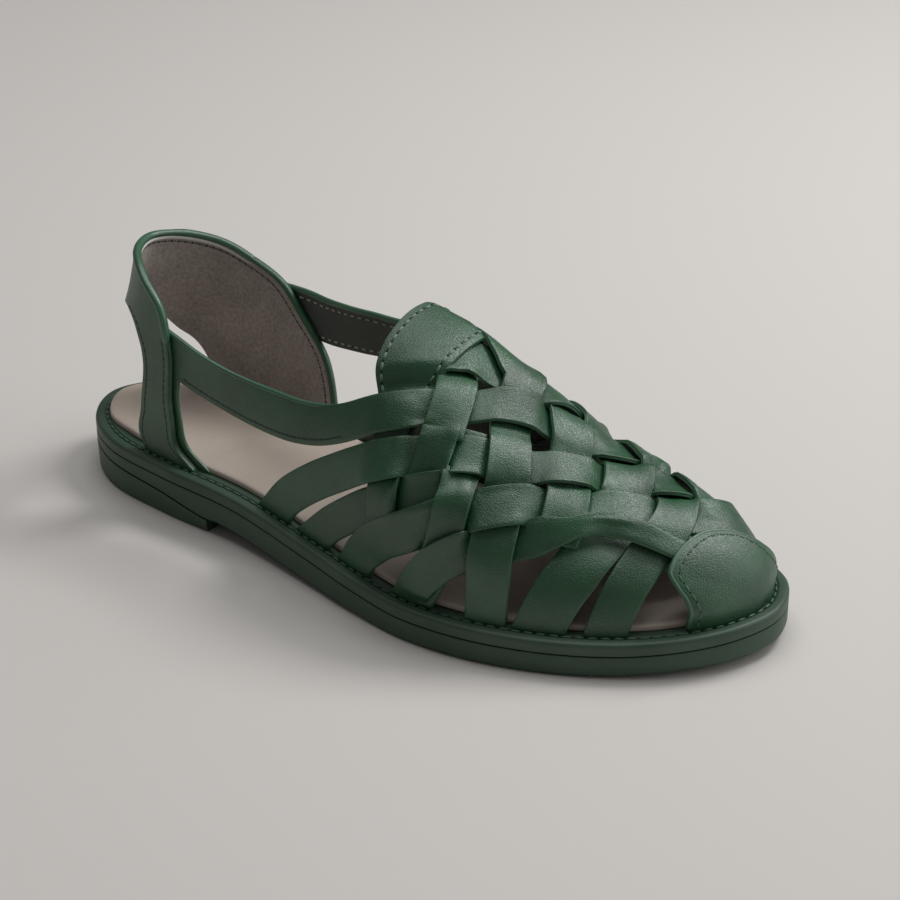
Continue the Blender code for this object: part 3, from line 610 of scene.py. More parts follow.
COLUMNS = {
    "rear column": (0.90, 0.90, 0.5, 0, 0, (
        (0.553, 0.275), (0.561, 0.230), (0.577, 0.160), (0.585, 0.100), (0.588, 0.055))),
    "throat column": (0.90, 0.88, 0.5, 0, 0, (
        (0.585, 0.470), (0.594, 0.430), (0.605, 0.394), (0.615, 0.352), (0.623, 0.304),
        (0.626, 0.284))),
    "lower throat column": (0.78, 0.88, 0.5, 0, 0, (
        (0.621, 0.300), (0.624, 0.275), (0.627, 0.251), (0.629, 0.211), (0.625, 0.174),
        (0.620, 0.130), (0.614, 0.080))),
    "short column": (0.70, 0.72, 0.5, 0, 1, (
        (0.648, 0.345), (0.665, 0.25), (0.671, 0.14), (0.659, 0.06), (0.641, 0.0))),
    "strap column": (1.00, 0.80, 0.32, 0, 1, (
        (0.190, 0.886), (0.240, 0.868), (0.292, 0.847), (0.340, 0.828), (0.390, 0.808),
        (0.430, 0.792), (0.480, 0.761), (0.530, 0.700), (0.575, 0.626), (0.604, 0.573),
        (0.617, 0.551), (0.629, 0.529), (0.644, 0.507), (0.659, 0.470), (0.679, 0.400),
        (0.707, 0.307), (0.720, 0.207), (0.724, 0.150), (0.728, 0.080), (0.728, 0.0))),
    "second column": (0.95, 0.95, 0.5, 1, 0, (
        (0.387, 1.0), (0.458, 0.920), (0.530, 0.850), (0.589, 0.780), (0.640, 0.695),
        (0.677, 0.600), (0.703, 0.529), (0.735, 0.464), (0.761, 0.385), (0.777, 0.303),
        (0.783, 0.24))),
    "third column": (1.05, 1.12, 0.5, 1, 1, (
        (0.470, 1.0), (0.535, 0.925), (0.598, 0.850), (0.645, 0.795), (0.697, 0.71),
        (0.744, 0.62), (0.783, 0.539), (0.812, 0.445), (0.823, 0.340), (0.818, 0.250),
        (0.812, 0.175), (0.803, 0.10), (0.788, 0.0))),
    "fourth column": (0.95, 0.90, 0.5, 1, 1, (
        (0.550, 1.0), (0.600, 0.935), (0.655, 0.865), (0.710, 0.78), (0.760, 0.70),
        (0.808, 0.618), (0.848, 0.540), (0.869, 0.465), (0.876, 0.385), (0.873, 0.310),
        (0.871, 0.240), (0.868, 0.170), (0.864, 0.090), (0.856, 0.0))),
    "fifth column": (0.90, 0.88, 0.5, 1, 0, (
        (0.630, 1.0), (0.672, 0.925), (0.715, 0.865), (0.760, 0.80), (0.805, 0.735),
        (0.845, 0.68), (0.875, 0.64), (0.902, 0.61))),
}
# The columns that each row passes over. It passes under the others that it meets.
OVER = {
    "throat row": ("throat column", "second column", "fourth column"),
    "strap row": (
        "rear column", "lower throat column", "strap column", "third column", "fifth column"),
    "first row": ("rear column", "short column", "second column", "fourth column"),
    "second row": ("lower throat column",),
    "third row": (
        "rear column", "lower throat column", "strap column", "third column", "fifth column"),
    "fourth row": (
        "rear column", "lower throat column", "short column", "second column", "third column",
        "fourth column"),
}
# Strips of one family that lie on each other: the upper one, the lower one, and the share of the
# length from which they do.
LAID_OVER = (
    ("lower throat column", "throat column", 0.0),
    ("third row", "second row", 0.0),
    ("fourth row", "third row", 0.750),
)
STRAPS = "strap row", "strap column"
# How deep a strip's start is pushed down, where another piece covers it, and over what length.
SUNK_START = {"throat row": (0.0016, 0.006), "throat column": (0.0042, 0.009)}
STRIPS = {**ROWS, **COLUMNS}
WIDTH_TURN = 0.16  # share of a strip over which its width changes
WAY_STEPS = 12  # points between two waypoints
FOOT_RUN = 0.020  # length over which a strip turns towards its foot
FOOT_ROWS = 3  # stations at a foot that lie on the last
LEAST_TURN = 0.6  # keeps a strip from widening too much where its foot is cut along the sole
# The straps lie beside the counter behind one share of the length, and clear of all behind another.
TUCK_SHARE, TUCK_FADE = 0.255, 0.13
TUCK_RUNS = LENGTH * np.linspace(0.05, 0.40, 36)  # places round the heel that give its wall
STRAP_FREE, FREE_FADE = 0.40, 0.06
CONTACT = 0.0019  # rise of a strip that lies on another
CONTACT_REACH = 0.00100
SINK = 0.0007  # most that a strip is pressed in below the last
BEND, PULL, TENSION = 2.2, 0.012, 0.25
FLATNESS = 0.75  # how far a strip keeps flat across
ROUNDS = 90
# How much the strips arch between crossings, over what length, and how far from their feet.
ARCH, ARCH_REACH, ARCH_FADE = 0.6, 0.007, 0.012


def lies_on_from(upper, lower):
    """Share of the length from which one strip lies on another, or 1 if it never does."""
    if upper in ROWS and lower in COLUMNS:
        return 0.0 if lower in OVER[upper] else 1.0
    if upper in COLUMNS and lower in ROWS:
        return 1.0 if upper in OVER[lower] else 0.0
    return next((start for a, b, start in LAID_OVER if (a, b) == (upper, lower)), 1.0)


def strip_width(name, part):
    """Width of a strip where a share of its length is reached."""
    start, end, turning = STRIPS[name][:3]
    full = STRAP_WIDTH if name in STRAPS else STRIP_WIDTH
    return full * (start + (end - start) * ease((part - turning) / WIDTH_TURN + 0.5))


def strip_grid(name):
    """Addresses on the last of a strip's points: stations by places across from -1 to 1."""
    foot_start, foot_end, waypoints = STRIPS[name][3:]
    table = np.array(waypoints)
    dense = curve_through(last_point(table[:, 0], table[:, 1]), WAY_STEPS, closed=False)
    dense_run = run_of(dense)
    run = np.linspace(0, dense_run[-1], max(3, round(dense_run[-1] / STRIP_STEP)) + 1)
    address = address_of(at_run(dense, dense_run, run))
    point, ahead, normal = last_frame(address[:, 0], address[:, 1])
    side = unit(np.cross(np.gradient(point, axis=0), normal))
    forward = (side * ahead).sum(axis=1)
    slant = np.sign(forward) / np.maximum(LEAST_TURN, np.abs(forward))
    turned = np.zeros(len(run))
    for foot, from_end in ((foot_start, run), (foot_end, run[-1] - run)):
        if foot:
            turned = np.maximum(turned, 1 - ease(from_end / FOOT_RUN))
    side = side * (1 - turned[:, None]) + ahead * (slant * turned)[:, None]
    offsets = strip_width(name, run / run[-1])[:, None] / 2 * ACROSS
    return address_of(point[:, None, :] + offsets[..., None] * side[:, None, :])


def stiffness(count):
    """Matrix that eases a line of heights, as the bending and the pull of a strip do."""
    whole = np.eye(count)
    bend, slope = np.diff(whole, 2, axis=0), np.diff(whole, axis=0)
    return np.linalg.inv((1 + PULL) * whole + BEND * bend.T @ bend + TENSION * slope.T @ slope)


def contacts_of(points):
    """Where one strip lies on another: the points above, the four nearest below, their shares."""
    trees = {}
    for name, grid in points.items():
        flat = grid.reshape(-1, 3)
        trees[name] = KDTree(len(flat))
        for index, point in enumerate(flat):
            trees[name].insert(point, index)
        trees[name].balance()
    contacts = []
    for upper in points:
        for lower in points:
            start = lies_on_from(upper, lower)
            if start == 1:
                continue
            start = start * LENGTH - CENTRE[1]
            above, below, shares = [], [], []
            for index, point in enumerate(points[upper].reshape(-1, 3)):
                near = trees[lower].find_n(point, 4)
                if near[0][2] < CONTACT_REACH and point[1] > start:
                    closeness = np.array([1 / (found[2] + 1e-5) for found in near])
                    above.append(index)
                    below.append([found[1] for found in near])
                    shares.append(closeness / closeness.sum())
            if above:
                contacts.append((upper, lower, np.array(above), np.array(below), np.array(shares)))
    return contacts


def woven_heights(grids):
    """Heights above the last at which the strips come to rest on and under each other."""
    contacts = contacts_of(
        {name: last_point(grid[..., 0], grid[..., 1]) for name, grid in grids.items()}
    )
    heights = {name: np.zeros(grid.shape[:2]) for name, grid in grids.items()}
    matrices = {name: stiffness(len(grid)) for name, grid in grids.items()}
    held = {name: ease((grid[..., 0] - STRAP_FREE) / FREE_FADE) for name, grid in grids.items()}
    for turn in range(ROUNDS):
        last_turn = turn == ROUNDS - 1
        for name, height in heights.items():
            eased = matrices[name] @ height
            level = eased.mean(axis=1, keepdims=True)
            tilt = (eased * ACROSS).sum(axis=1, keepdims=True) / (ACROSS**2).sum()
            height[:] = (1 - FLATNESS) * eased + FLATNESS * (level + tilt * ACROSS)
        for upper, lower, above, below, shares in contacts:
            high, low = heights[upper].reshape(-1), heights[lower].reshape(-1)
            short = np.maximum(CONTACT + (low[below] * shares).sum(axis=1) - high[above], 0)
            high[above] += short if last_turn else 0.5 * short
            if not last_turn:
                pressed, weight = np.zeros_like(low), np.full_like(low, 1e-6)
                np.add.at(pressed, below, shares * short[:, None])
                np.add.at(weight, below, shares)
                low -= 0.5 * pressed / weight * (weight > 0.1)
        for name, height in heights.items():
            foot_start, foot_end = STRIPS[name][3:5]
            np.maximum(height, -SINK, out=height)
            if foot_start:
                height[:FOOT_ROWS] = 0
            if foot_end:
                height[-FOOT_ROWS:] = 0
            if name in SUNK_START:
                depth, reach = SUNK_START[name]
                height[: round(reach / STRIP_STEP)] = -depth
            if name in STRAPS:
                height *= held[name]
    reach = round(ARCH_REACH / STRIP_STEP)
    window = np.hanning(2 * reach + 3)[1:-1]
    for name, height in heights.items():
        ends = np.pad(height, ((reach, reach), (0, 0)), "edge")
        broad = np.stack([np.convolve(line, window / window.sum(), "valid") for line in ends.T], 1)
        bend = ARCH * (broad - CONTACT / 2) * held[name]
        from_foot = np.minimum(np.arange(len(height)), np.arange(len(height))[::-1])
        height += bend * ease(from_foot * STRIP_STEP / ARCH_FADE)[:, None]
        height[1:-1] = 0.5 * height[1:-1] + 0.25 * (height[:-2] + height[2:])
    return heights


def heel_point(run, height):
    """Point of the heel wall at a run round the feather line and a height above it."""
    ring = np.vstack([FEATHER[TOE_INDEX:], FEATHER[: TOE_INDEX + 1]])
    distance = run_of(ring)
    place = at_run(ring, distance - distance[len(FEATHER) - TOE_INDEX], run)
    across, along = place[..., 0], place[..., 1]
    share = height / COLLAR_HEIGHT
    middle = BALL_WIDTH * HEEL_TIP[1]
    fade = np.clip(1 - (along - WELT_WIDTH) / (LEAN_REACH * LENGTH), 0, 1)
    up = welt_height(along) + GAP + height
    across = middle + (across - middle) * smooth(HEEL_LEAN, share, 1)
    along = along + LENGTH * smooth(HEEL_LEAN, share, 2) * fade
    return np.stack([across - CENTRE[0], along - CENTRE[1], up], axis=-1)


# How the heel leans in: scale of the feather line across, and how far forward its back lies as a
# share of LENGTH, by height as a share of COLLAR_HEIGHT.
#       height  across  forward
HEEL_LEAN = (
    (0.00, 1.00, 0.000),
    (0.30, 1.00, 0.004),
    (0.60, 0.99, 0.036),
    (0.80, 0.975, 0.055),
    (1.00, 0.955, 0.068),
)
LEAN_REACH = 0.4  # share of LENGTH over which the lean fades out forwards


def tucked(name, points, addresses, depth):
    """Points of a strap moved sideways to lie inside or outside the counter at its rear end."""
    runs = TUCK_RUNS if name == "strap row" else -TUCK_RUNS
    moved = points.copy()
    for index in np.ndindex(points.shape[:2]):
        near = ease((TUCK_SHARE - addresses[index][0]) / TUCK_FADE + 1)
        if near > 0:
            along, up = points[index][1], points[index][2]
            base = welt_height(along + CENTRE[1]) + GAP
            wall = heel_point(runs, np.clip(up - base, 0, 1.1 * COLLAR_HEIGHT))
            sideways = np.interp(along, wall[:, 1], wall[:, 0]) + depth
            moved[index][0] += (sideways - points[index][0]) * near
    return moved


# Semi-aniline calf: dyed through and lightly sealed, so that the fine crackle of its grain shows
# under a satin coat. The cut edges are coloured a tone brighter: partly their edge paint, partly a
# painted highlight for the light that the edges catch.
GRAIN = 0.00085  # coarser than real calf grain, so that it shows
CREASE = 0.0060
TONE_PATCH = 0.018


def leather_finish(name, colour, deep, roughness, relief=0.75, gloss=0.95):
    made, tree, shader, place = new_finish(name)
    patch = add_node(tree, "TexNoise", {"Vector": place, "Scale": 1 / TONE_PATCH, "Detail": 5.0})
    tone = two_tones(tree, patch, 0.35, 0.68, deep, colour)
    wander = add_node(tree, "TexNoise", {"Vector": place, "Scale": 0.4 / GRAIN, "Detail": 2.0})
    bent = add_node(
        tree, "MixRGB", {"Fac": 0.0004, "Color1": place, "Color2": wander.outputs["Color"]},
        blend_type="LINEAR_LIGHT",
    )
    grain = add_node(
        tree, "TexVoronoi", {"Vector": bent, "Scale": 1 / GRAIN, "Randomness": 1.0},
        feature="DISTANCE_TO_EDGE",
    )
    plateau = add_node(tree, "MapRange", {"Value": grain, "From Max": 0.22, "To Max": 1.0})
    crease = add_node(tree, "TexNoise", {"Vector": place, "Scale": 1 / CREASE, "Detail": 7.0})
    fine = add_node(tree, "Bump", {"Strength": relief, "Distance": 0.00006, "Height": plateau})
    broad = add_node(
        tree, "Bump", {"Strength": 0.3, "Distance": 0.0006, "Height": crease, "Normal": fine}
    )
    rough = {"Value": crease, "To Min": roughness - 0.06, "To Max": roughness + 0.08}
    rough = add_node(tree, "MapRange", rough)
    set_inputs(tree, shader, {"Base Color": tone, "Normal": broad, "Roughness": rough})
    set_inputs(tree, shader, {"IOR": 1.5, "Specular IOR Level": gloss})
    return made


calf = leather_finish("semi-aniline green calf", "1e5733", "164627", 0.42)
edge_paint_and_painted_highlight = leather_finish("painted cut edge with painted highlight", "4a7c5c", "366446", 0.36, 0.2)
lining = leather_finish("dark green lining leather", "26332a", "1f2b23", 0.60)

# The cut edge seen end on, from the outer face to the lining: how far it stands out in metres and
# its level as a share of the thickness. A shallow line shows where leather and lining are glued.
CUT_EDGE = (
    (-0.00035, 1.00),
    (-0.00012, 0.95),
    (0.00000, 0.82),
    (0.00000, 0.62),
    (-0.00014, 0.53),
    (0.00000, 0.44),
    (0.00000, 0.18),
    (-0.00012, 0.05),
    (-0.00035, 0.00),
)
# These levels get the brighter edge colour: edge paint together with a painted highlight.
PAINTED = range(2, 6)  # the levels of CUT_EDGE at which the edge is painted


def strip_piece(name, outside, inside, back=lining):
    """A lined piece of calf: an outer and an inner grid of points, joined by a shaped cut edge."""
    rows, columns = outside.shape[:2]
    stand = np.zeros_like(outside)
    stand[:, 0] += unit(outside[:, 0] - outside[:, 1])
    stand[:, -1] += unit(outside[:, -1] - outside[:, -2])
    stand[0] += unit(outside[0] - outside[1])
    stand[-1] += unit(outside[-1] - outside[-2])
    index = np.arange(rows * columns).reshape(rows, columns)
    border = [*index[0], *index[1:, -1], *index[-1, -2::-1], *index[-2:0:-1, 0]]
    flat_out, flat_in, out = (grid.reshape(-1, 3) for grid in (outside, inside, stand))
    rings = [
        flat_in[border] + (flat_out[border] - flat_in[border]) * level + out[border] * push
        for push, level in CUT_EDGE
    ]
    flat_out, flat_in = flat_out.copy(), flat_in.copy()
    flat_out[border], flat_in[border] = rings[0], rings[-1]
    inner, count = index.size, len(border)
    faces, slots = [], []
    for a in index[:-1, :-1].ravel():
        faces.append((a, a + 1, a + columns + 1, a + columns))
        faces.append(tuple(inner + k for k in (a, a + columns, a + columns + 1, a + 1)))
        slots += [0, 1]
    first = [2 * inner + level * count for level in range(len(rings) - 2)]
    levels = [border, *(range(k, k + count) for k in first), [inner + k for k in border]]
    for level, (high, low) in enumerate(zip(levels, levels[1:])):
        faces += band(low, high)
        slots += [2 if level in PAINTED else int(level > PAINTED[0])] * count
    points = np.concatenate([flat_out, flat_in] + rings[1:-1])
    piece = mesh_piece(name, points, faces, calf, back, edge_paint_and_painted_highlight)
    piece.data.polygons.foreach_set("material_index", slots)
    outward = np.cross(outside[1, 1] - outside[0, 1], outside[0, 2] - outside[0, 1])
    if np.dot(outward, outside[0, 1] - inside[0, 1]) > 0:
        piece.data.flip_normals()
    smooth_faces(piece, 60)
    return piece


def with_feet(grid, start, end):
    """A grid with one more row of points under each foot, down in the welt's groove."""
    down = np.array((0.0, 0.0, -FOOT_DEPTH))
    if start:
        grid = np.concatenate([grid[:1] + down, grid])
    if end:
        grid = np.concatenate([grid, grid[-1:] + down])
    return grid


# How far both faces of each strap lie from the inside of the counter's wall.
TUCKED = {
    "strap row": (-GAP, -GAP - LEATHER),
    "strap column": (-COUNTER_LEATHER - GAP - LEATHER, -COUNTER_LEATHER - GAP),
}
grids = {name: strip_grid(name) for name in STRIPS}
heights = woven_heights(grids)
faces_of = {}
for name, grid in grids.items():
    point, _, normal = last_frame(grid[..., 0], grid[..., 1])
    lifts = heights[name] + LEATHER + CROWN * (1 - ACROSS**4), heights[name] + LINING_LIFT
    faces = [point + normal * lift[..., None] for lift in lifts]
    if name in TUCKED:
        faces = [tucked(name, face, grid, depth) for face, depth in zip(faces, TUCKED[name])]
    faces_of[name] = faces
    outside, inside = (with_feet(face, *STRIPS[name][3:5]) for face in faces)
    strip = strip_piece("strip_" + name.replace(" ", "_"), outside, inside)
    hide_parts("woven_upper")
    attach(strip, "root")

# Strap trim: the top edge of each strap is rolled over a fine cord, and rows of stitches run along
# the near strap's lower edge and inside the far one.

NEAR_ROLL = (0.0010, 0.0009)
FAR_ROLL = (0.0010, 0.0011)
ROLL_SIDES = 12
ROLL_TIP = 0.02  # how blunt a tapered end is
ROLL_SINK = 0.6  # how far a binding is drawn down over its edge, as a share of its radius


def roll(name, line, outward, up, radii, material, taper):
    """A rolled edge along a line: an oval tube, by its radii across the wall and in it, and by the
    lengths over which its start and its end taper."""
    run = run_of(line)
    size = np.ones(len(run))
    for from_end, length in zip((run, run[-1] - run), taper):
        if length:
            size = np.minimum(size, np.sqrt(ease(from_end / length + ROLL_TIP)))
    turns = np.linspace(0, 2 * math.pi, ROLL_SIDES, endpoint=False)
    rings = line[:, None, :] + size[:, None, None] * (
        radii[0] * np.cos(turns)[None, :, None] * outward[:, None, :]
        + radii[1] * np.sin(turns)[None, :, None] * up[:, None, :]
    )
    levels = [range(first, first + ROLL_SIDES) for first in range(0, rings.size // 3, ROLL_SIDES)]
    faces = [face for low, high in zip(levels, levels[1:]) for face in band(low, high)]
    faces += [tuple(reversed(levels[0])), tuple(levels[-1])]
    piece = mesh_piece(name, rings.reshape(-1, 3), faces, material)
    smooth_faces(piece, 60)
    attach(piece, "root")


def inset_line(face, other, side, inset):
    """Line on one face of a piece, at an inset from its first (0) or last (-1) border."""
    if side:
        face, other = face[:, ::-1], other[:, ::-1]
    run = [run_of(station) for station in face]
    line = np.array([at_run(*station, inset) for station in zip(face, run)])
    back = np.array([at_run(*station, inset) for station in zip(other, run)])
    return line, unit(line - back)


# Rolled calf: paler than the flat leather, which is a painted highlight along each roll, and
# smoother.
rolled_calf_painted_highlight = leather_finish("rolled calf edge painted highlight", "38694a", "2d5a3d", 0.38, 0.3)
# Each roll: strap, radii, its top border, and the share of the length where it ends.
for name, radii, top, end in (
    ("strap row", NEAR_ROLL, 0, 0.500),
    ("strap column", FAR_ROLL, -1, 0.520),
):
    free = grids[name][:, STRIP_ACROSS // 2, 0] < end
    outside, inside = (face[free] for face in faces_of[name])
    middle = (outside + inside) / 2
    up = unit(middle[:, top] - middle[:, -2 if top else 1])
    # Each strap's roll is drawn in the paler rolled calf, a painted highlight.
    roll(
        name.replace(" ", "_") + "_rolled_edge", middle[:, top] - radii[1] / 2 * up,
        unit(outside[:, top] - inside[:, top]), up, radii, rolled_calf_painted_highlight, (0, 0.012),
    )

# Each row of stitches: name, strap, whether it is on the inside, border that it follows, inset,
# where it starts and ends as shares of the length, pitch, stitch, thread.
dark_thread = plain_finish("dark green thread", "26382c", 0.6)
pale_thread = plain_finish("undyed thread", "a8aaa0", 0.6)
NEAR_STITCH, FAR_STITCH = (0.0018, 0.0008, 0.0003), (0.0023, 0.0007, 0.0004)
STRAP_ROWS = (
    ("near_strap", "strap row", 0, -1, 0.0020, 0.222, 0.505, 0.0026, NEAR_STITCH, dark_thread),
    ("far_strap_upper", "strap column", 1, -1, 0.0026, 0.235, 0.5, 0.0037, FAR_STITCH, pale_thread),
    ("far_strap_lower", "strap column", 1, 0, 0.0018, 0.235, 0.5, 0.0037, FAR_STITCH, pale_thread),
)
for name, strap, lined, side, inset, start, end, pitch, stitch, thread in STRAP_ROWS:
    along = grids[strap][:, STRIP_ACROSS // 2 if lined else -1, 0]
    free = (along > start) & (along < end)
    face, other = (faces_of[strap][k][free] for k in (lined, 1 - lined))
    line, normals = inset_line(face, other, side, inset)
    stitch_row("stitches_" + name, line, normals, pitch, stitch, thread)

# Toe cap: a shaped piece of the same calf over the toe. Its rear edge is turned and stitched down
# over the ends of the strips, and its foot is pulled under the last.

#        wrap   rear edge, as a share of LENGTH
CAP_EDGE = (
    (0.00, 0.930),
    (0.07, 0.930),
    (0.14, 0.924),
    (0.20, 0.911),
    (0.25, 0.900),
    (0.32, 0.899),
    (0.42, 0.905),
    (0.50, 0.924),
    (0.58, 0.945),
    (0.66, 0.954),
    (0.75, 0.956),
    (1.00, 0.951),
)
CAP_RISE = (0.0021, 0.0013)  # height over the last on the outer and on the inner side
CAP_TURNOVER = (0.38, 0.15)  # wrap at which the one begins to turn into the other, and how far on
CAP_FADE = 0.35  # how steeply the cap rises from its feet
CAP_STITCH, CAP_PITCH, CAP_STITCH_INSET = (0.0022, 0.0008, 0.0005), 0.0034, 0.0027
CAP_TURN = (0.0011, 0.0009)
CAP_GRID = (91, 34)  # points from side to side, and from the rear edge to the toe
CAP_SEAM_ENDS = 2  # points at each end of the rear edge without trim
wrap = np.linspace(0, 1, CAP_GRID[0])
steps = np.sin(np.linspace(0, 1, CAP_GRID[1]) * math.pi / 2)[:, None]
rear = smooth(CAP_EDGE, wrap, 1)
share = rear + (FEATHER_TIP - TIP_MARGIN - rear) * steps
rise = CAP_RISE[0] + (CAP_RISE[1] - CAP_RISE[0]) * ease((wrap - CAP_TURNOVER[0]) / CAP_TURNOVER[1])
rise = rise * ease(np.sin(wrap * math.pi) / CAP_FADE) * (1 - ease(steps))
point, _, normal = last_frame(share, np.broadcast_to(wrap, share.shape))
cap_faces = []
for lift in (rise + LEATHER, rise):
    face = point + normal * lift[..., None]
    front = face[-1:].copy()
    front[..., 2] = welt_height(FEATHER_TIP * LENGTH) - GAP
    face = np.concatenate([face, front])
    face = with_feet(face.swapaxes(0, 1), True, True).swapaxes(0, 1)
    cap_faces.append(face)
toe_cap = strip_piece("toe_cap_calf", *cap_faces)
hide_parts("toe_cap")
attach(toe_cap, "root")
turned_out, turned_in = (
    face.swapaxes(0, 1)[CAP_SEAM_ENDS:-CAP_SEAM_ENDS] for face in cap_faces
)
line, normals = inset_line(turned_out, turned_in, 0, CAP_STITCH_INSET)
stitch_row(
    "stitches_toe_cap", line, normals, CAP_PITCH, CAP_STITCH, green_thread
)
middle = (turned_out + turned_in) / 2
# The turned edge is drawn in the paler rolled calf, a painted highlight.
roll(
    "toe_cap_turned_edge", middle[:, 0], unit(turned_out[:, 0] - turned_in[:, 0]),
    unit(middle[:, 0] - middle[:, 1]), CAP_TURN, rolled_calf_painted_highlight, (0, 0),
)

# Tongue: a rounded tab of lined calf on the instep. Its sides slip under the two straps, and its
# front edge lies over the start of the weave.

TONGUE_REAR = 0.506
TONGUE_FRONT = 0.589
TONGUE_WRAP = (0.240, 0.595)
TONGUE_CORNER = (0.034, 3.2)  # how far its rear corners are rounded off, and how squarely
TONGUE_DEPTH = 0.0014
TONGUE_STAND = (-0.0006, 0.0012)  # lift of its lining off the last at the rear and at the front
# Where the straps' edges cross it: the wrap at one share of the length, and its change from there.
CROSSING, STRAP_EDGES = 0.55, ((0.305, 1.35), (0.625, -1.70))
UNDER_STRAP = 0.06  # wrap over which it sinks under a strap
TONGUE_GRID = (61, 41)  # points from side to side, and from rear to front
TONGUE_SEAM_ENDS = 4  # points at each end of an edge without stitches
sides = np.linspace(-1, 1, TONGUE_GRID[0])
steps = np.linspace(0, 1, TONGUE_GRID[1])[:, None]
rear = TONGUE_REAR + TONGUE_CORNER[0] * np.abs(sides) ** TONGUE_CORNER[1]
share = rear + (TONGUE_FRONT - rear) * steps
wrap = sum(TONGUE_WRAP) / 2 + (TONGUE_WRAP[1] - TONGUE_WRAP[0]) / 2 * sides
near, far = (at + change * (share - CROSSING) for at, change in STRAP_EDGES)
open_part = ease((wrap - near) / UNDER_STRAP) * ease((far - wrap) / UNDER_STRAP)
stand = TONGUE_STAND[0] + (TONGUE_STAND[1] - TONGUE_STAND[0]) * ease(steps)
sunk = -(LEATHER + TONGUE_DEPTH)
lift = sunk + (stand - sunk) * open_part
point, _, normal = last_frame(share, np.broadcast_to(wrap, share.shape))
tongue_faces = [point + normal * height[..., None] for height in (lift + LEATHER, lift)]
tongue = strip_piece("tongue_calf", *tongue_faces)
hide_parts("tongue")
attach(tongue, "root")
TONGUE_STITCH, TONGUE_PITCH, TONGUE_STITCH_INSET = (0.0026, 0.0011, 0.0008), 0.0037, 0.0026
tongue_thread = plain_finish("bold green thread", "6f8a77", 0.5)
turned_out, turned_in = (
    face.swapaxes(0, 1)[TONGUE_SEAM_ENDS:-TONGUE_SEAM_ENDS] for face in tongue_faces
)
for side, word in ((0, "rear"), (-1, "front")):
    line, normals = inset_line(turned_out, turned_in, side, TONGUE_STITCH_INSET)
    stitch_row(
        "stitches_tongue_" + word, line, normals, TONGUE_PITCH, TONGUE_STITCH, tongue_thread,
    )

# Heel counter: a stiffened band of calf round the back of the heel, lined with grey suede. A
# narrow leg runs down the outer side and a broad wing down the inner side.

# Run is the distance round the feather line from the back of the heel, as a share of LENGTH,
# positive on the outer side. Heights above that line are shares of COLLAR_HEIGHT.
#     lower edge       upper edge
#     run     height   run     height
COUNTER = (
    (0.176, 0.00, 0.268, 0.00),
    (0.165, 0.10, 0.236, 0.09),
    (0.171, 0.24, 0.229, 0.24),
    (0.172, 0.38, 0.222, 0.40),
    (0.163, 0.50, 0.211, 0.56),
    (0.141, 0.62, 0.194, 0.71),
    (0.112, 0.70, 0.170, 0.85),
    (0.082, 0.715, 0.137, 0.93),
    (0.050, 0.68, 0.090, 1.00),
    (0.015, 0.60, 0.030, 1.02),
    (-0.020, 0.52, -0.030, 1.00),
    (-0.050, 0.44, -0.090, 0.94),
    (-0.075, 0.35, -0.150, 0.85),
    (-0.095, 0.29, -0.212, 0.76),
    (-0.109, 0.22, -0.262, 0.60),
    (-0.120, 0.13, -0.318, 0.40),
    (-0.130, 0.00, -0.340, 0.00),
)
COUNTER_STEPS, COUNTER_ACROSS = 10, 25  # stations between two rows above, points across
SUEDE_NAP = 0.0013  # coarser than the real nap, so that it shows
SUEDE_PATCH = 0.010
suede, tree, shader, place = new_finish("grey suede lining")
nap = add_node(tree, "TexNoise", {"Vector": place, "Scale": 1 / SUEDE_NAP, "Detail": 6.0})
patch = add_node(tree, "TexNoise", {"Vector": place, "Scale": 1 / SUEDE_PATCH, "Detail": 8.0})
tone = two_tones(tree, patch, 0.35, 0.70, "b0a8a2", "beb6b0")
fuzz = two_tones(tree, nap, 0.35, 0.65, "cdc9c6", "f4f2f0")
mixed = add_node(
    tree, "MixRGB", {"Fac": 0.8, "Color1": tone, "Color2": fuzz}, blend_type="MULTIPLY"
)
bump = add_node(tree, "Bump", {"Strength": 0.8, "Distance": 0.0003, "Height": nap})
set_inputs(tree, shader, {"Base Color": mixed, "Normal": bump})
set_inputs(tree, shader, {"Roughness": 0.9, "Specular IOR Level": 0.2})


def counter_faces(edges, parts, thickness, lift=0.0):
    """Outer and inner grids of a band of the heel wall between a lower and an upper edge."""
    part = np.linspace(0, 1, parts)[None, :, None]
    wall = edges[:, None, :2] * (1 - part) + edges[:, None, 2:] * part
    run, height = wall[..., 0] * LENGTH, np.maximum(wall[..., 1], 0) * COLLAR_HEIGHT
    nudge = 0.001
    by_run = heel_point(run + nudge, height) - heel_point(run - nudge, height)
    by_height = heel_point(run, height + nudge) - heel_point(run, height)
    normal = unit(np.cross(by_run, by_height))
    point = heel_point(run, height) + normal * lift
    return point + normal * thickness, point


edges = curve_through(COUNTER, COUNTER_STEPS, closed=False)
counter_out, counter_in = counter_faces(edges, COUNTER_ACROSS, COUNTER_LEATHER)
footed = [with_feet(face, True, True) for face in (counter_out, counter_in)]
counter = strip_piece("heel_counter_calf", *footed, suede)
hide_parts("heel_counter")
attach(counter, "root")

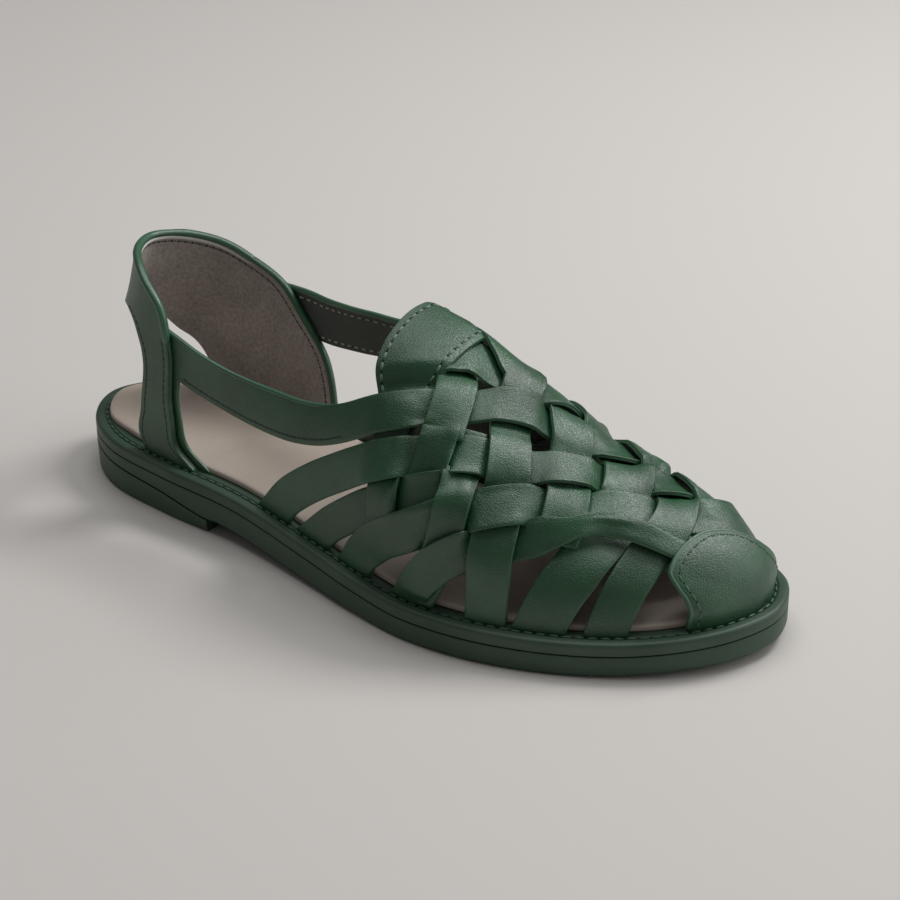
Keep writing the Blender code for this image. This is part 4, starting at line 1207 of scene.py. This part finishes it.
# The leg's inner layer shows in front of its outer one, below the near strap.
#     lower edge       upper edge
#     run     height   run     height
LEG_LINING = (
    (0.200, 0.00, 0.289, 0.00),
    (0.200, 0.10, 0.248, 0.10),
    (0.200, 0.24, 0.237, 0.24),
    (0.200, 0.36, 0.231, 0.37),
    (0.198, 0.46, 0.226, 0.48),
    (0.190, 0.56, 0.216, 0.58),
)
LEG_STEPS, LEG_ACROSS = 8, 9
LEG_THICKNESS, LEG_LIFT = 0.0012, -0.0016
edges = curve_through(LEG_LINING, LEG_STEPS, closed=False)
layer = counter_faces(edges, LEG_ACROSS, LEG_THICKNESS, LEG_LIFT)
footed = [with_feet(face, True, False) for face in layer]
leg_lining = strip_piece("leg_inner_layer", *footed, suede)
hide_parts("heel_counter")
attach(leg_lining, "root")

# Counter trim: the collar is bound with a rolled strip of calf, the wing's front edge with a thin
# one, and a pale edge of felt shows between the roll and the suede.

COLLAR_ROLL = (0.0015, 0.0013)
WING_ROLL = (0.0014, 0.0011)
FELT_ROLL = (0.0005, 0.0006)
FELT_INSET = 0.0021
felt = plain_finish("pale felt", "e0dedb", 0.9)
# The stations of the counter at which the binding starts, turns into the wing's, and ends.
top_start, top_end, foot_end = 4 * COUNTER_STEPS + 4, 12 * COUNTER_STEPS + 4, -3
BINDING_LAP = 6  # stations over which the wing's binding lies along the collar's
middle = (counter_out + counter_in) / 2
up = unit(middle[:, -1] - middle[:, -2])
outward = unit(counter_out[:, -1] - counter_in[:, -1])
# The collar's binding is drawn in the paler rolled calf, a painted highlight; the wing's in plain
# calf.
for name, span, radii, material, taper in (
    ("collar_binding", slice(top_start, top_end), COLLAR_ROLL, rolled_calf_painted_highlight, (0.006, 0.004)),
    ("wing_binding", slice(top_end - BINDING_LAP, foot_end), WING_ROLL, calf, (0.006, 0)),
):
    line = middle[span, -1] - ROLL_SINK * radii[1] * up[span]
    roll(name, line, outward[span], up[span], radii, material, taper)
span = slice(top_start, top_end)
line, normals = inset_line(counter_in[span], counter_out[span], -1, FELT_INSET)
roll("collar_felt_edge", line, normals, up[span], FELT_ROLL, felt, (0.01, 0.01))

COUNTER_STITCH = (0.0017, 0.0008, 0.0003)
COUNTER_ROWS = (
    # name, face, span of stations, side, inset, pitch
    ("rim", 1, slice(7 * COUNTER_STEPS, top_end + 1), -1, 0.0037, 0.0025),
    ("wing", 1, slice(top_end, foot_end), -1, 0.0037, 0.0025),
    ("leg_rear", 0, slice(2, 7 * COUNTER_STEPS), 0, 0.0021, 0.0026),
    ("leg_front", 0, slice(2, 5 * COUNTER_STEPS), -1, 0.0024, 0.0026),
)
for name, inner, span, side, inset, pitch in COUNTER_ROWS:
    face, other = (counter_in, counter_out) if inner else (counter_out, counter_in)
    line, normals = inset_line(face[span], other[span], side, inset)
    stitch_row(
        "stitches_counter_" + name, line, normals, pitch, COUNTER_STITCH, dark_thread,
    )

# Floor, light and camera: a flat, seamless pale grey floor, a broad soft box overhead, a smaller
# one that gives the leather its sheen, and a low one at the right that brightens that side of the
# floor.

FLOOR_SIZE = 12.0
bpy.ops.object.select_all(action="DESELECT")
bpy.ops.mesh.primitive_plane_add(size=FLOOR_SIZE, location=(0, 0, 0))
floor = bpy.context.object
floor.name = "floor"
paper = plain_finish("seamless pale grey paper", "dcd8d4", 0.85)
shader = paper.node_tree.nodes["Principled BSDF"]
shader.inputs["Specular IOR Level"].default_value = 0.2
floor.data.materials.append(paper)

CAMERA_TARGET = Vector((-0.04963, -0.0154, 0.010))
CAMERA_DISTANCE = 0.803
CAMERA_TURN, CAMERA_TILT = math.radians(34.7), math.radians(27.0)
FOCAL_LENGTH = 92.0
level = math.cos(CAMERA_TILT)
back = Vector((math.cos(CAMERA_TURN) * level, math.sin(CAMERA_TURN) * level, math.sin(CAMERA_TILT)))
lens = bpy.data.cameras.new("camera")
lens.lens = FOCAL_LENGTH
lens.sensor_width = 36.0
lens.clip_start, lens.clip_end = 0.05, 20.0
camera = bpy.data.objects.new("camera", lens)
camera.location = CAMERA_TARGET + back * CAMERA_DISTANCE
camera.rotation_euler = (-back).to_track_quat("-Z", "Y").to_euler()
bpy.context.scene.collection.objects.link(camera)
bpy.context.scene.camera = camera

# Each light: name, place as seen from the camera, size, power in watts.
right = Vector((0, 0, 1)).cross(back).normalized()
away = -Vector((back.x, back.y, 0)).normalized()
LIGHTS = (
    ("overhead", 0.40 * away - 0.05 * right + Vector((0, 0, 1.8)), 1.6, 12.0),
    ("key", 0.42 * away + 0.70 * right + Vector((0, 0, 1.0)), 0.5, 6.5),
    ("side", -0.10 * away + 1.25 * right + Vector((0, 0, 0.65)), 1.3, 5.5),
)
for name, place, size, power in LIGHTS:
    lamp = bpy.data.lights.new(name, "AREA")
    lamp.shape = "DISK"
    lamp.size = size
    lamp.energy = power
    holder = bpy.data.objects.new(name, lamp)
    holder.location = place
    holder.rotation_euler = (-place).to_track_quat("-Z", "Y").to_euler()
    bpy.context.scene.collection.objects.link(holder)

world = bpy.data.worlds.new("studio")
world.use_nodes = True
sky = world.node_tree.nodes["Background"]
set_inputs(world.node_tree, sky, {"Color": linear("f2f0ee"), "Strength": 0.12})
bpy.context.scene.world = world
bpy.context.scene.view_settings.view_transform = "Standard"
